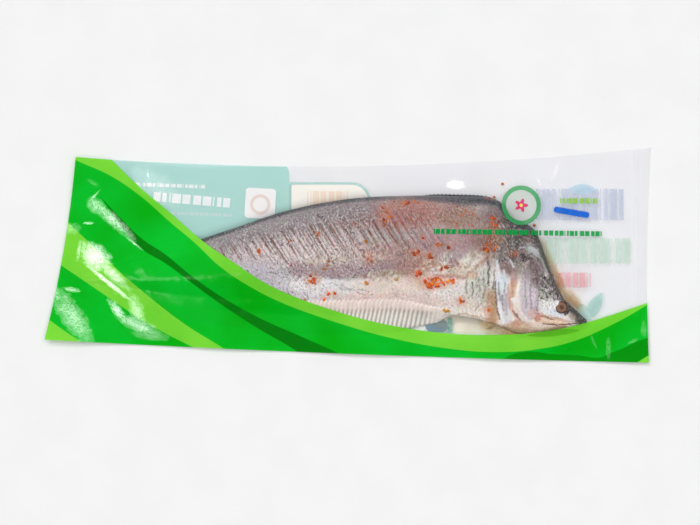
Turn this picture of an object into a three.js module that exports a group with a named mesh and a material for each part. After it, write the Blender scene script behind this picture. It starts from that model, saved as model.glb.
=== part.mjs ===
// A boned and restuffed featherback fish, vacuum sealed in a flat clear pouch that lies on its back film.
//
// The pouch is one closed solid. Its outer skin is worked out as the real one is formed: the fish is lofted
// first, then two films are drawn onto it from above and below until they touch the fish or each other.
//
// Frame, in millimetres: x runs along the pouch towards the fish's head, y across it towards the fish's back,
// and z up. The origin is under the middle of the pouch, on the surface that it lies on.
import * as THREE from "three";

// Pouch outline: the four corners, and how far each edge bows out of its straight line (inwards is negative).
const CORNERS = {
  bellyTail: [-252.5, -70.5],
  bellyHead: [250.5, -89.6],
  backTail: [-226.5, 81.5],
  backHead: [252.5, 89.6],
};
const BOW = { belly: 2.2, back: -11.5, tail: -3, head: -2.5 };
const POUCH_LENGTH = CORNERS.backHead[0] - CORNERS.bellyTail[0];
const POUCH_WIDTH = CORNERS.backHead[1] - CORNERS.bellyHead[1];

// Films
const SEAL_WIDTH = 7; // heat seal round the whole rim
const SEAL_THICKNESS = 0.9;
const PAIR_THICKNESS = 1.3; // the two films and the trapped juice, inside the seal
const TENT_RADIUS = 12; // how tightly the vacuum bends a film where it leaves the fish
const RIM_HEIGHT = 2.2; // mean height of the rim over the table
const RIM_WAVE = 1.3;
const RIM_WAVE_LENGTH = 118;
const RIM_WAVE_SHIFT = 2.1; // radians that the wave is ahead on the fish's back side
const CORNER_LIFT = 3.5; // the tail-end corners curl up
const CORNER_REACH = { along: 0.12, across: 0.3 }; // shares of the pouch over which they come down again

// Fish: a section every few centimetres, from tail tip to snout. Each has its point on the back, its point on
// the belly, how thick the fish is there, and how far the anal fin reaches below the belly.
const STATIONS = [
  { name: "tail tip", back: [-220, -19], belly: [-220, -22], thickness: 2.5, fin: 1 },
  { name: "tail root", back: [-190, -8], belly: [-190, -26], thickness: 6, fin: 9 },
  { name: "tail", back: [-150, 4], belly: [-150, -33], thickness: 11, fin: 15 },
  { name: "rear flank", back: [-100, 20.5], belly: [-100, -38.5], thickness: 16.5, fin: 19.5 },
  { name: "vent flank", back: [-50, 37], belly: [-50, -41], thickness: 21, fin: 22.5 },
  { name: "mid flank", back: [0, 46.5], belly: [0, -41], thickness: 25, fin: 24.5 },
  { name: "stuffed belly", back: [50, 49.3], belly: [40, -40.5], thickness: 28, fin: 24 },
  { name: "shoulder", back: [90, 48.8], belly: [76, -48.5], thickness: 29, fin: 8 },
  { name: "nape", back: [122, 46.5], belly: [100, -52], thickness: 28, fin: 0 },
  { name: "gill opening", back: [140, 30.5], belly: [120, -57], thickness: 26, fin: 0 },
  { name: "gill cover", back: [156, 19.5], belly: [137, -64], thickness: 24, fin: 0 },
  { name: "cheek", back: [166.5, -7.5], belly: [157, -66.5], thickness: 20, fin: 0 },
  { name: "eye", back: [177.5, -33], belly: [176, -64], thickness: 15, fin: 0 },
  { name: "snout", back: [190.5, -46.5], belly: [191, -60], thickness: 9, fin: 0 },
  { name: "snout tip", back: [199, -54.5], belly: [199, -56], thickness: 4, fin: 0 },
];
const MIDPLANE = 0.3; // height of the fish's middle plane, as a share of its thickness
const UPPER_SHARE = 0.7; // the upper flank's bulge over that plane
const LOWER_SHARE = 0.375; // the lower flank's, which the table then presses flat
const SECTION_LEAN = 1.25; // above 1 the thickest line is nearer the back than the belly
const SECTION_FULLNESS = 2.6;
const KEEL = 0.55; // how much of its thickness the flank keeps towards the belly's keel
const KEEL_REACH = 0.45; // share of the flank's width over which that thickness comes back
const FIN_THICKNESS = 2.6; // at the fin's root
const FIN_ROOT_SHARE = 0.6; // height of the root's lower face, as a share of the middle plane's
const FIN_EDGE = { bottom: 1, top: 2.2 }; // heights of the fin's free edge

// Raised and sunk places on the fish's upper side: centre, half size along x and y, tilt from x in degrees,
// and height. A plate has a flat top with a steep rim, a dome is round.
const RELIEFS = [
  { name: "cheek plate", at: [148, -29.5], half: [9.5, 30], tilt: -4, height: 1.6, plate: true },
  { name: "gill cover", at: [129.5, -32], half: [7.5, 27], tilt: 3, height: 1.8, plate: true },
  { name: "gill slit", at: [117.5, -20], half: [2.6, 27], tilt: 4, height: -1.8, plate: false },
  { name: "skull ridge", at: [157, 0], half: [4, 17], tilt: 25, height: 1.2, plate: false },
  { name: "eye", at: [177.5, -41.5], half: [5.6, 5.6], tilt: 0, height: 2.2, plate: false },
  { name: "mouth", at: [177, -54.5], half: [15, 1.8], tilt: -12, height: -1.6, plate: false },
  { name: "jaw", at: [163, -58.5], half: [15, 4.5], tilt: -6, height: 1.2, plate: false },
];

// Working grid of the films, and the coarser grid of the finished skin.
const CELL = 2.5;
const DRAPE_PASSES = 260;
const OVERSHOOT = 1.6; // each pass moves a film this many times as far as its neighbours ask
const LOFT_STEPS = 150;
const SECTION_STEPS = 40;
const SKIN_ROWS = 34;
const COLUMN_PITCH = { tail: 6.6, head: 3.7 }; // the head's relief needs closer columns
const HEAD_COLUMNS = { from: 104, to: 204, fade: 20 }; // along x
const LOCATE_STEPS = 12; // corrections that find a point's place in the pouch outline
const EDGE_ON = 1e-9; // an area or a share below this counts as nothing

/** Smooth step from 0 to 1 while x goes from a to b. */
function smooth(a, b, x) {
  return THREE.MathUtils.smoothstep(x, Math.min(a, b), Math.max(a, b));
}

/** Point of the pouch at (s, t), both 0 to 1: a Coons patch over the four bowed edges. */
function pouchPoint(s, t) {
  const { bellyTail, bellyHead, backTail, backHead } = CORNERS;
  const mix = (a, b, k) => [a[0] + (b[0] - a[0]) * k, a[1] + (b[1] - a[1]) * k];
  const arch = (k) => 4 * k * (1 - k);
  const low = mix(bellyTail, bellyHead, s);
  const high = mix(backTail, backHead, s);
  const [x, y] = mix(low, high, t);
  const dx = (1 - s) * -BOW.tail * arch(t) + s * BOW.head * arch(t);
  const dy = (1 - t) * -BOW.belly * arch(s) + t * BOW.back * arch(s);
  return [x + dx, y + dy];
}

/** Height of the rim over the table at (s, t). */
function rimHeight(s, t) {
  const wave = Math.sin((2 * Math.PI * s * POUCH_LENGTH) / RIM_WAVE_LENGTH + RIM_WAVE_SHIFT * t);
  const curl = (1 - smooth(0, CORNER_REACH.along, s)) * (1 - smooth(0, CORNER_REACH.across, Math.min(t, 1 - t)));
  return RIM_HEIGHT + RIM_WAVE * wave + CORNER_LIFT * curl;
}

/** Spline through one property of the stations, as a function of 0 to 1. */
function alongFish(pick) {
  const values = STATIONS.map(pick);
  const flat = values.map((v) => (Array.isArray(v) ? new THREE.Vector2(...v) : new THREE.Vector2(v, 0)));
  const curve = new THREE.SplineCurve(flat);
  return (u) => curve.getPoint(u);
}
const backAt = alongFish((s) => s.back);
const bellyAt = alongFish((s) => s.belly);
const thicknessAt = alongFish((s) => s.thickness);
const finAt = alongFish((s) => s.fin);

/** Share of the full thickness at v, 0 on the belly's edge and 1 on the back's. */
function sectionShare(v) {
  const across = Math.abs(2 * v ** SECTION_LEAN - 1);
  const round = Math.sqrt(Math.max(0, 1 - across ** SECTION_FULLNESS));
  return round * (KEEL + (1 - KEEL) * smooth(0, KEEL_REACH, v));
}

/** Height that the raised and sunk places add at (x, y). */
function relief(x, y) {
  let sum = 0;
  for (const { at, half, tilt, height, plate } of RELIEFS) {
    const a = THREE.MathUtils.degToRad(tilt);
    const dx = x - at[0];
    const dy = y - at[1];
    const p = (dx * Math.cos(a) + dy * Math.sin(a)) / half[0];
    const q = (dy * Math.cos(a) - dx * Math.sin(a)) / half[1];
    const r = Math.hypot(p, q);
    sum += height * (plate ? 1 - smooth(0.8, 1.08, r) : Math.max(0, 1 - r * r));
  }
  return sum;
}

/** The fish as rows of points with an upper and a lower height: the body's flank, then the anal fin. */
function loftFish() {
  const rows = [];
  for (let i = 0; i <= LOFT_STEPS; i++) {
    const u = i / LOFT_STEPS;
    const back = backAt(u);
    const belly = bellyAt(u);
    const thickness = Math.max(1, thicknessAt(u).x);
    const finReach = Math.max(0, finAt(u).x);
    const middle = MIDPLANE * thickness;
    const row = [];
    for (let j = 0; j <= SECTION_STEPS; j++) {
      const v = j / SECTION_STEPS;
      const share = sectionShare(v);
      const x = belly.x + (back.x - belly.x) * v;
      const y = belly.y + (back.y - belly.y) * v;
      const top = middle + UPPER_SHARE * thickness * share + relief(x, y) * share;
      const bottom = Math.max(0, middle - LOWER_SHARE * thickness * share);
      row.push({ x, y, top, bottom });
    }
    const edge = { x: belly.x, y: belly.y - finReach, ...FIN_EDGE };
    const root = { ...row[0], top: middle + FIN_THICKNESS / 2, bottom: middle * FIN_ROOT_SHARE };
    rows.push([edge, root, ...row.slice(1)]);
  }
  return rows;
}

/** A field of heights on the working grid, over the pouch's bounding box. */
class Field {
  constructor(value) {
    this.columns = Math.ceil((2 * CORNERS.backHead[0] + 4 * CELL) / CELL);
    this.rows = Math.ceil((2 * CORNERS.backHead[1] + 4 * CELL) / CELL);
    this.x0 = -(this.columns - 1) * CELL * 0.5;
    this.y0 = -(this.rows - 1) * CELL * 0.5;
    this.z = new Float64Array(this.columns * this.rows).fill(value);
  }

  /** Height at (x, y), between the four grid points round it. */
  at(x, y) {
    const fx = THREE.MathUtils.clamp((x - this.x0) / CELL, 0, this.columns - 1.001);
    const fy = THREE.MathUtils.clamp((y - this.y0) / CELL, 0, this.rows - 1.001);
    const i = Math.floor(fx);
    const j = Math.floor(fy);
    const k = j * this.columns + i;
    const low = THREE.MathUtils.lerp(this.z[k], this.z[k + 1], fx - i);
    const high = THREE.MathUtils.lerp(this.z[k + this.columns], this.z[k + this.columns + 1], fx - i);
    return THREE.MathUtils.lerp(low, high, fy - j);
  }
}

/** Writes one lofted triangle into the fish's upper and lower fields. */
function drawTriangle(a, b, c, upper, lower) {
  const area = (b.x - a.x) * (c.y - a.y) - (c.x - a.x) * (b.y - a.y);
  if (Math.abs(area) < EDGE_ON) return;
  const span = (key, start) => {
    const values = [a[key], b[key], c[key]].map((value) => (value - start) / CELL);
    return [Math.ceil(Math.min(...values)), Math.floor(Math.max(...values))];
  };
  const [i0, i1] = span("x", upper.x0);
  const [j0, j1] = span("y", upper.y0);
  for (let j = j0; j <= j1; j++) {
    for (let i = i0; i <= i1; i++) {
      const x = upper.x0 + i * CELL;
      const y = upper.y0 + j * CELL;
      const wb = ((x - a.x) * (c.y - a.y) - (c.x - a.x) * (y - a.y)) / area;
      const wc = ((b.x - a.x) * (y - a.y) - (x - a.x) * (b.y - a.y)) / area;
      const wa = 1 - wb - wc;
      if (Math.min(wa, wb, wc) < -EDGE_ON) continue;
      const k = j * upper.columns + i;
      upper.z[k] = Math.max(upper.z[k], wa * a.top + wb * b.top + wc * c.top);
      lower.z[k] = Math.min(lower.z[k], wa * a.bottom + wb * b.bottom + wc * c.bottom);
    }
  }
}

/** The fish's upper and lower heights as fields; -Infinity and Infinity where there is no fish. */
function fishFields() {
  const upper = new Field(-Infinity);
  const lower = new Field(Infinity);
  const rows = loftFish();
  for (let i = 1; i < rows.length; i++) {
    for (let j = 1; j < rows[i].length; j++) {
      const [a, b, c, d] = [rows[i - 1][j - 1], rows[i][j - 1], rows[i][j], rows[i - 1][j]];
      drawTriangle(a, b, c, upper, lower);
      drawTriangle(a, c, d, upper, lower);
    }
  }
  return { upper, lower };
}

/** For each grid point, the rim height if it lies on or outside the seal's inner edge, else null. */
function rimField(grid) {
  const rim = new Array(grid.z.length).fill(null);
  const clamp = (share) => THREE.MathUtils.clamp(share, 0, 1);
  for (let j = 0; j < grid.rows; j++) {
    for (let i = 0; i < grid.columns; i++) {
      const [s, t] = pouchCoordinates(grid.x0 + i * CELL, grid.y0 + j * CELL);
      const toEdge = Math.min(Math.min(s, 1 - s) * POUCH_LENGTH, Math.min(t, 1 - t) * POUCH_WIDTH);
      if (toEdge < SEAL_WIDTH) rim[j * grid.columns + i] = rimHeight(clamp(s), clamp(t));
    }
  }
  return rim;
}

/** (s, t) of the pouch at (x, y), by a few Newton-like corrections. */
function pouchCoordinates(x, y) {
  let s = 0.5;
  let t = 0.5;
  for (let step = 0; step < LOCATE_STEPS; step++) {
    const [px, py] = pouchPoint(s, t);
    s += (x - px) / POUCH_LENGTH;
    t += (y - py) / POUCH_WIDTH;
  }
  return [s, t];
}

/** Height that a film takes at grid point k from its four neighbours and the vacuum's pull. */
function relaxed({ z, columns }, k, pull) {
  const asked = (z[k - 1] + z[k + 1] + z[k - columns] + z[k + columns]) / 4 + pull;
  return z[k] + OVERSHOOT * (asked - z[k]);
}

/** Draws both films onto the fish and onto each other. Returns their outer faces as fields. */
function drapeFilms() {
  const fish = fishFields();
  const upper = new Field(0);
  const lower = new Field(0);
  const rim = rimField(upper);
  const pull = (CELL * CELL) / (4 * TENT_RADIUS);
  const { columns, rows } = upper;
  upper.z.forEach((_, k) => {
    upper.z[k] = Math.max(fish.upper.z[k], RIM_HEIGHT);
    lower.z[k] = Math.min(fish.lower.z[k], RIM_HEIGHT);
  });
  for (let pass = 0; pass < DRAPE_PASSES; pass++) {
    for (let j = 1; j < rows - 1; j++) {
      for (let i = 1; i < columns - 1; i++) {
        const k = j * columns + i;
        if (rim[k] !== null) {
          upper.z[k] = rim[k] + SEAL_THICKNESS / 2;
          lower.z[k] = rim[k] - SEAL_THICKNESS / 2;
          continue;
        }
        let high = Math.max(relaxed(upper, k, -pull), fish.upper.z[k]);
        let low = Math.max(0, Math.min(relaxed(lower, k, pull), fish.lower.z[k]));
        if (high - low < PAIR_THICKNESS) {
          const middle = Math.max((high + low) / 2, PAIR_THICKNESS / 2);
          high = Math.max(middle + PAIR_THICKNESS / 2, fish.upper.z[k]);
          low = Math.min(middle - PAIR_THICKNESS / 2, fish.lower.z[k]);
        }
        upper.z[k] = high;
        lower.z[k] = low;
      }
    }
  }
  return { upper, lower };
}

/** Grid lines across the pouch, as shares of its length: the rim, the seal's inner edges, and steps between. */
function gridLines(length, pitchAt) {
  const end = length / 2 - SEAL_WIDTH;
  const lines = [-end];
  while (lines.at(-1) < end || lines.length % 2 === 0) lines.push(lines.at(-1) + pitchAt(lines.at(-1)));
  const stretch = (2 * end) / (lines.at(-1) + end);
  const inner = lines.map((line) => (line + end) * stretch - end);
  return [-length / 2, ...inner, length / 2].map((line) => line / length + 0.5);
}

/** Distance to the next column of the skin at x. */
function columnPitch(x) {
  const { from, to, fade } = HEAD_COLUMNS;
  const nearHead = smooth(from - fade, from, x) * (1 - smooth(to, to + fade, x));
  return THREE.MathUtils.lerp(COLUMN_PITCH.tail, COLUMN_PITCH.head, nearHead);
}

/** The pouch's skin as one closed geometry: upper film, lower film and the rim between them. */
function pouchGeometry() {
  const films = drapeFilms();
  const columns = gridLines(POUCH_LENGTH, columnPitch);
  const rows = gridLines(POUCH_WIDTH, () => POUCH_WIDTH / SKIN_ROWS);
  const positions = [];
  const triangles = [];
  const sealedRim = (i, j) => i === 0 || j === 0 || i === columns.length - 1 || j === rows.length - 1;

  /** Adds the vertex of film face `field` at grid line (i, j), and returns its number. */
  const vertex = (field, side, i, j) => {
    const [s, t] = [columns[i], rows[j]];
    const [x, y] = pouchPoint(s, t);
    const z = sealedRim(i, j) ? rimHeight(s, t) + (side * SEAL_THICKNESS) / 2 : field.at(x, y);
    positions.push(x, y, Math.max(0, z));
    return positions.length / 3 - 1;
  };
  const upper = columns.map((_, i) => rows.map((__, j) => vertex(films.upper, 1, i, j)));
  const lower = new Map();
  for (let i = 0; i < columns.length; i += 2) {
    for (let j = 0; j < rows.length; j += 2) lower.set(`${i},${j}`, vertex(films.lower, -1, i, j));
  }
  const under = (i, j) => lower.get(`${i},${j}`);

  for (let i = 1; i < columns.length; i++) {
    for (let j = 1; j < rows.length; j++) {
      const [a, b, c, d] = [upper[i - 1][j - 1], upper[i][j - 1], upper[i][j], upper[i - 1][j]];
      triangles.push(a, b, c, a, c, d);
    }
  }
  for (let i = 2; i < columns.length; i += 2) {
    for (let j = 2; j < rows.length; j += 2) {
      const [a, b, c, d] = [under(i - 2, j - 2), under(i, j - 2), under(i, j), under(i - 2, j)];
      triangles.push(a, c, b, a, d, c);
    }
  }

  /** Joins two upper steps of the rim to one lower step, going round the pouch anticlockwise. */
  const closeRim = (from, middle, to) => {
    const [p, q, r] = [from, middle, to].map(([i, j]) => upper[i][j]);
    const [a, b] = [under(...from), under(...to)];
    triangles.push(a, q, p, a, b, q, b, r, q);
  };
  const lastColumn = columns.length - 1;
  const lastRow = rows.length - 1;
  for (let i = 2; i <= lastColumn; i += 2) {
    closeRim([i - 2, 0], [i - 1, 0], [i, 0]);
    closeRim([i, lastRow], [i - 1, lastRow], [i - 2, lastRow]);
  }
  for (let j = 2; j <= lastRow; j += 2) {
    closeRim([lastColumn, j - 2], [lastColumn, j - 1], [lastColumn, j]);
    closeRim([0, j], [0, j - 1], [0, j - 2]);
  }

  const geometry = new THREE.BufferGeometry();
  geometry.setAttribute("position", new THREE.Float32BufferAttribute(positions, 3));
  geometry.setIndex(triangles);
  geometry.computeVertexNormals();
  return geometry;
}

/** The sealed pack, the only piece. */
function sealedPack() {
  const material = new THREE.MeshStandardMaterial({ color: 0x0aa81e, roughness: 0.22, metalness: 0 });
  const mesh = new THREE.Mesh(pouchGeometry(), material);
  mesh.name = "sealed_fish_pack";
  return mesh;
}

const pack = new THREE.Group();
pack.add(sealedPack());

export default pack;
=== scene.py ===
"""Looks of a boned and restuffed featherback fish, vacuum sealed in a flat, part-printed pouch.

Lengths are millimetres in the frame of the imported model: x runs along the pouch towards the fish's head, y
across it towards the fish's back, and z up from the table. `MM` turns them into metres where a mesh is made.
Colours are written as a screen shows them, 0 to 255, and `linear` turns them into what a shader works with.
"""

import logging
import math
from collections.abc import Callable, Sequence
from dataclasses import dataclass
from enum import Enum

import bpy
import numpy as np
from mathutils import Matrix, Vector
from mathutils.bvhtree import BVHTree


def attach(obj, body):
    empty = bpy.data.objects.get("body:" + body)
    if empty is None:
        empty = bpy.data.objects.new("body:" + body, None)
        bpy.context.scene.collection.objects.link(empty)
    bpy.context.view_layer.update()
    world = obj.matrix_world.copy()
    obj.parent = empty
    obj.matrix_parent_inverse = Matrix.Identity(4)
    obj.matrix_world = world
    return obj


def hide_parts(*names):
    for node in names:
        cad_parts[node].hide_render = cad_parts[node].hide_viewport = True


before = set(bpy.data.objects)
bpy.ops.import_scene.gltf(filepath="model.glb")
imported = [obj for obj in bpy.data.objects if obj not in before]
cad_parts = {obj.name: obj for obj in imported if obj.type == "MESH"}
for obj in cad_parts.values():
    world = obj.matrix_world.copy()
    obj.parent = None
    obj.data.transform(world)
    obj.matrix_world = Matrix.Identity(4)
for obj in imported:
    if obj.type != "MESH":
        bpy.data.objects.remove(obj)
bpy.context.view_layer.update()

Array = np.ndarray
Point = tuple[float, float]
Colour = tuple[float, float, float]
Socket = bpy.types.NodeSocket
Piece = bpy.types.Object
Material = bpy.types.Material

log = logging.getLogger("fish_pack")

MM = 0.001
PACK_NODE = "sealed_fish_pack"
BODY = "root"
LATTICE = 256  # random values along each side of a noise's repeating square
SKY = 0.2  # metres over and under the table from which rays are sent
UP = Vector((0, 0, 1))
DOWN = Vector((0, 0, -1))
WINDOW_LEAN = (-0.239, -0.247, 0.8)  # a fifth of a level film's normal and this point halfway to the window
UNDERSIDE = 0.25  # millimetres that the fish's underside keeps from the table
RAIL_POINTS = 3000  # how finely the lines of back and belly are looked up


# --- small mathematics


def ease(start: float, end: float, value: Array | float) -> Array:
    """Rises smoothly from 0 to 1 while a value goes from start to end."""
    share = np.clip((np.asarray(value, float) - start) / (end - start), 0.0, 1.0)
    return share * share * (3.0 - 2.0 * share)


def spline_through(points: Sequence, at: Array) -> Array:
    """Evaluates the uniform Catmull-Rom curve through some points.

    Args:
        points: Numbers or tuples that the curve passes, evenly spaced over 0 to 1.
        at: Shares of the curve, 0 to 1.

    Returns:
        One row of values for each share.
    """
    knots = np.asarray(points, float).reshape(len(points), -1)
    reach = np.clip(at, 0.0, 1.0) * (len(knots) - 1)
    index = np.minimum(reach.astype(int), len(knots) - 2)
    w = (reach - index)[:, None]
    before = knots[np.maximum(index - 1, 0)]
    start = knots[index]
    end = knots[index + 1]
    after = knots[np.minimum(index + 2, len(knots) - 1)]
    leave = (end - before) / 2
    arrive = (after - start) / 2
    cubic = 2 * start - 2 * end + leave + arrive
    square = -3 * start + 3 * end - 2 * leave - arrive
    return ((cubic * w + square) * w + leave) * w + start


def value_noise(x: Array, y: Array, cell: float, seed: int) -> Array:
    """Smooth random values over the plane.

    Args:
        x: Places along x, in millimetres.
        y: Places along y.
        cell: Size of one blotch.
        seed: Which pattern.

    Returns:
        Values between 0 and 1.
    """
    lattice = np.random.default_rng(seed).random((LATTICE, LATTICE))
    column = np.floor(x / cell).astype(int)
    row = np.floor(y / cell).astype(int)
    across = ease(0, 1, x / cell - column)
    up = ease(0, 1, y / cell - row)

    def corner(right: int, above: int) -> Array:
        """Random value at one corner of each cell."""
        return lattice[(column + right) % LATTICE, (row + above) % LATTICE]

    low = corner(0, 0) * (1 - across) + corner(1, 0) * across
    high = corner(0, 1) * (1 - across) + corner(1, 1) * across
    return low * (1 - up) + high * up


def layered_noise(x: Array, y: Array, cell: float, seed: int, layers: int = 3) -> Array:
    """Noise with finer noise on it, each layer half the size and strength of the last.

    Args:
        x: Places along x.
        y: Places along y.
        cell: Size of the largest blotches.
        seed: Which pattern.
        layers: How many sizes are added up.

    Returns:
        Values between -1 and 1.
    """
    total = np.zeros(np.shape(x))
    weight = 0.0
    for layer in range(layers):
        share = 0.5**layer
        total += share * (2 * value_noise(x, y, cell * share, seed + layer) - 1)
        weight += share
    return total / weight


def linear(colour: Sequence[float]) -> tuple[float, float, float, float]:
    """Linear red, green, blue and alpha of a screen colour."""
    return (*screen_to_linear(np.asarray(colour, float) / 255.0), 1.0)


def screen_to_linear(shown: Array) -> Array:
    """Linear values of screen values, both 0 to 1."""
    shown = np.clip(shown, 0.0, 1.0)
    return np.where(shown <= 0.04045, shown / 12.92, ((shown + 0.055) / 1.055) ** 2.4)


def turned(x: Array, y: Array, centre: Point, tilt: float) -> tuple[Array, Array]:
    """Places as seen from a centre, in axes turned anticlockwise by a number of degrees.

    Args:
        x: Places along x.
        y: Places along y.
        centre: The centre.
        tilt: The turn, in degrees.

    Returns:
        Places along and across.
    """
    angle = math.radians(tilt)
    dx = x - centre[0]
    dy = y - centre[1]
    return dx * math.cos(angle) + dy * math.sin(angle), dy * math.cos(angle) - dx * math.sin(angle)


def painted(base: Array, mask: Array, colour: Colour) -> Array:
    """Screen colours between 0 and 1, covered with another one where a mask says."""
    return base + mask[..., None] * (np.asarray(colour, float) / 255 - base)


# --- mesh tools


def new_piece(name: str, points: Array, faces: Sequence[Sequence[int]], material: Material) -> Piece:
    """Makes a smooth-shaded mesh object.

    Args:
        name: The piece's name.
        points: Vertex positions in millimetres, one row each.
        faces: Vertex numbers of each face, anticlockwise from outside.
        material: Its finish.

    Returns:
        The object, linked into the scene.
    """
    mesh = bpy.data.meshes.new(name)
    mesh.from_pydata((np.asarray(points, float) * MM).tolist(), [], [tuple(map(int, face)) for face in faces])
    mesh.shade_smooth()
    mesh.materials.append(material)
    mesh.update()
    piece = bpy.data.objects.new(name, mesh)
    bpy.context.scene.collection.objects.link(piece)
    return piece


def paint_points(piece: Piece, name: str, values: Array, screen: bool = True) -> None:
    """Stores three values for each vertex.

    Args:
        piece: The mesh object.
        name: The attribute's name, which a finish reads.
        values: One row each, between 0 and 1.
        screen: True for screen colours, which are made linear.
    """
    attribute = piece.data.color_attributes.new(name, "FLOAT_COLOR", "POINT")
    rows = np.concatenate([screen_to_linear(values) if screen else values, np.ones((len(values), 1))], axis=1)
    attribute.data.foreach_set("color", rows.astype(np.float32).ravel())


def grid_faces(numbers: Array, flip: bool = False) -> list[list[int]]:
    """Quads between the neighbours of a grid of vertex numbers.

    Args:
        numbers: Vertex numbers, by column along x and row along y.
        flip: Turns the faces to look down.

    Returns:
        One list of four vertex numbers for each cell.
    """
    corners = [numbers[:-1, :-1], numbers[1:, :-1], numbers[1:, 1:], numbers[:-1, 1:]]
    if flip:
        corners.reverse()
    return np.stack([corner.ravel() for corner in corners], axis=1).tolist()


def tree_of(pieces: Sequence[Piece]) -> BVHTree:
    """A ray-casting tree over several mesh pieces together.

    Args:
        pieces: The mesh pieces.

    Returns:
        The tree.
    """
    points: list[Vector] = []
    faces: list[list[int]] = []
    for piece in pieces:
        start = len(points)
        points.extend(vertex.co.copy() for vertex in piece.data.vertices)
        faces.extend([start + corner for corner in polygon.vertices] for polygon in piece.data.polygons)
    return BVHTree.FromPolygons(points, faces)


def height_under_ray(tree: BVHTree, x: float, y: float, way: Vector) -> float | None:
    """Height in millimetres where a ray sent UP or DOWN first meets the tree, or None where it misses."""
    hit = tree.ray_cast(Vector((x * MM, y * MM, -way.z * SKY)), way)[0]
    return None if hit is None else hit.z / MM


# --- shader writing


class NodePen:
    """Writes one material's nodes, with the surface point in millimetres at hand."""

    def __init__(self, name: str) -> None:
        """Starts a material with an empty node tree.

        Args:
            name: The material's name.
        """
        self.material = bpy.data.materials.new(name)
        self.material.use_nodes = True
        self.tree = self.material.node_tree
        self.tree.nodes.clear()
        place = self.add("TexCoord").outputs["Object"]
        self.place = self.vector("SCALE", place, Scale=1 / MM)
        self.x, self.y, self.z = self.add("SeparateXYZ", self.place).outputs

    def add(self, kind: str, *sources: object, **settings: object) -> bpy.types.Node:
        """Adds a node.

        Args:
            kind: Its class in Blender, without the words ShaderNode.
            sources: What goes into its first inputs.
            settings: Its properties.

        Returns:
            The node.
        """
        node = self.tree.nodes.new("ShaderNode" + kind)
        for setting, value in settings.items():
            setattr(node, setting, value)
        for source, socket in zip(sources, node.inputs):
            self.feed(source, socket)
        return node

    def filled(self, kind: str, **inputs: object) -> bpy.types.Node:
        """Adds a node and fills its named inputs.

        Args:
            kind: Its class in Blender, without the words ShaderNode.
            inputs: What goes into each, with underscores for spaces.

        Returns:
            The node.
        """
        node = self.add(kind)
        for name, source in inputs.items():
            self.feed(source, node.inputs[name.replace("_", " ")])
        return node

    def feed(self, source: object, socket: Socket) -> None:
        """Links a socket to an input, or writes a plain value into it.

        Args:
            source: Socket or plain value.
            socket: The input that it goes to.
        """
        if isinstance(source, Socket):
            self.tree.links.new(source, socket)
        else:
            socket.default_value = source

    def math(self, operation: str, *terms: object, clamp: bool = False) -> Socket:
        """One Math node's result, held between 0 and 1 with clamp."""
        return self.add("Math", *terms, operation=operation, use_clamp=clamp).outputs[0]

    def times(self, first: object, second: object) -> Socket:
        """Product of two values."""
        return self.math("MULTIPLY", first, second)

    def minus(self, first: object, second: object) -> Socket:
        """Difference of two values."""
        return self.math("SUBTRACT", first, second)

    def plus(self, first: object, second: object) -> Socket:
        """Sum of two values."""
        return self.math("ADD", first, second)

    def most(self, first: object, second: object) -> Socket:
        """The larger of two values."""
        return self.math("MAXIMUM", first, second)

    def hypot(self, *sides: object) -> Socket:
        """Square root of the sum of two squares."""
        return self.math("SQRT", self.plus(*[self.math("POWER", side, 2.0) for side in sides]))

    def vector(self, operation: str, *terms: object, **named: object) -> Socket:
        """One Vector Math node.

        Args:
            operation: Blender's name for it.
            terms: What goes into its first inputs.
            named: What goes into inputs by name.

        Returns:
            The result.
        """
        node = self.add("VectorMath", *terms, operation=operation)
        for name, source in named.items():
            self.feed(source, node.inputs[name])
        return node.outputs[0]

    def mix(self, share: object, first: object, second: object) -> Socket:
        """Mixes two colours.

        Args:
            share: How much of the second.
            first: Colour or socket.
            second: Colour or socket.

        Returns:
            The mixed colour.
        """
        node = self.add("Mix", share, data_type="RGBA")
        for source, socket in zip((first, second), node.inputs[6:8]):  # its two colours
            self.feed(source, socket)
        return node.outputs[2]

    def noise(
        self, size: float, detail: float = 2.0, roughness: float = 0.5, place: Socket | None = None
    ) -> Socket:
        """Noise between 0 and 1.

        Args:
            size: Size of its blotches in millimetres.
            detail: How many finer layers it has.
            roughness: How strong those are.
            place: Where it is looked up, if not at the surface point.

        Returns:
            The noise.
        """
        values = {"Vector": place or self.place, "Scale": 1 / size, "Detail": detail, "Roughness": roughness}
        return self.filled("TexNoise", **values).outputs["Fac"]

    def cells(self, size: float) -> Socket:
        """Distance to the nearest of many scattered points, in cell sizes."""
        return self.filled("TexVoronoi", Vector=self.place, Scale=1 / size).outputs["Distance"]

    def ramp(self, value: Socket, start: float, end: float, low: float = 0.0, high: float = 1.0) -> Socket:
        """Carries a value from one range to another, held inside it."""
        return self.add("MapRange", value, start, end, low, high).outputs[0]

    def turned(self, centre: Point, tilt: float) -> tuple[Socket, Socket]:
        """The place as seen from a centre, in axes turned anticlockwise by a number of degrees.

        Args:
            centre: The centre.
            tilt: The turn, in degrees.

        Returns:
            Places along and across.
        """
        dx = self.minus(self.x, centre[0])
        dy = self.minus(self.y, centre[1])
        cosine = math.cos(math.radians(tilt))
        sine = math.sin(math.radians(tilt))
        along = self.math("MULTIPLY_ADD", dx, cosine, self.times(dy, sine))
        return along, self.math("MULTIPLY_ADD", dy, cosine, self.times(dx, -sine))

    def attribute(self, name: str) -> Socket:
        """Colour attribute of the mesh."""
        return self.add("Attribute", attribute_name=name).outputs["Color"]

    def parts(self, name: str) -> list[Socket]:
        """The three values of an attribute of the mesh."""
        return list(self.add("SeparateColor", self.attribute(name)).outputs)

    def joined(self, *parts: object) -> Socket:
        """A vector from its three parts."""
        return self.add("CombineXYZ", *parts).outputs[0]

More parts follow.
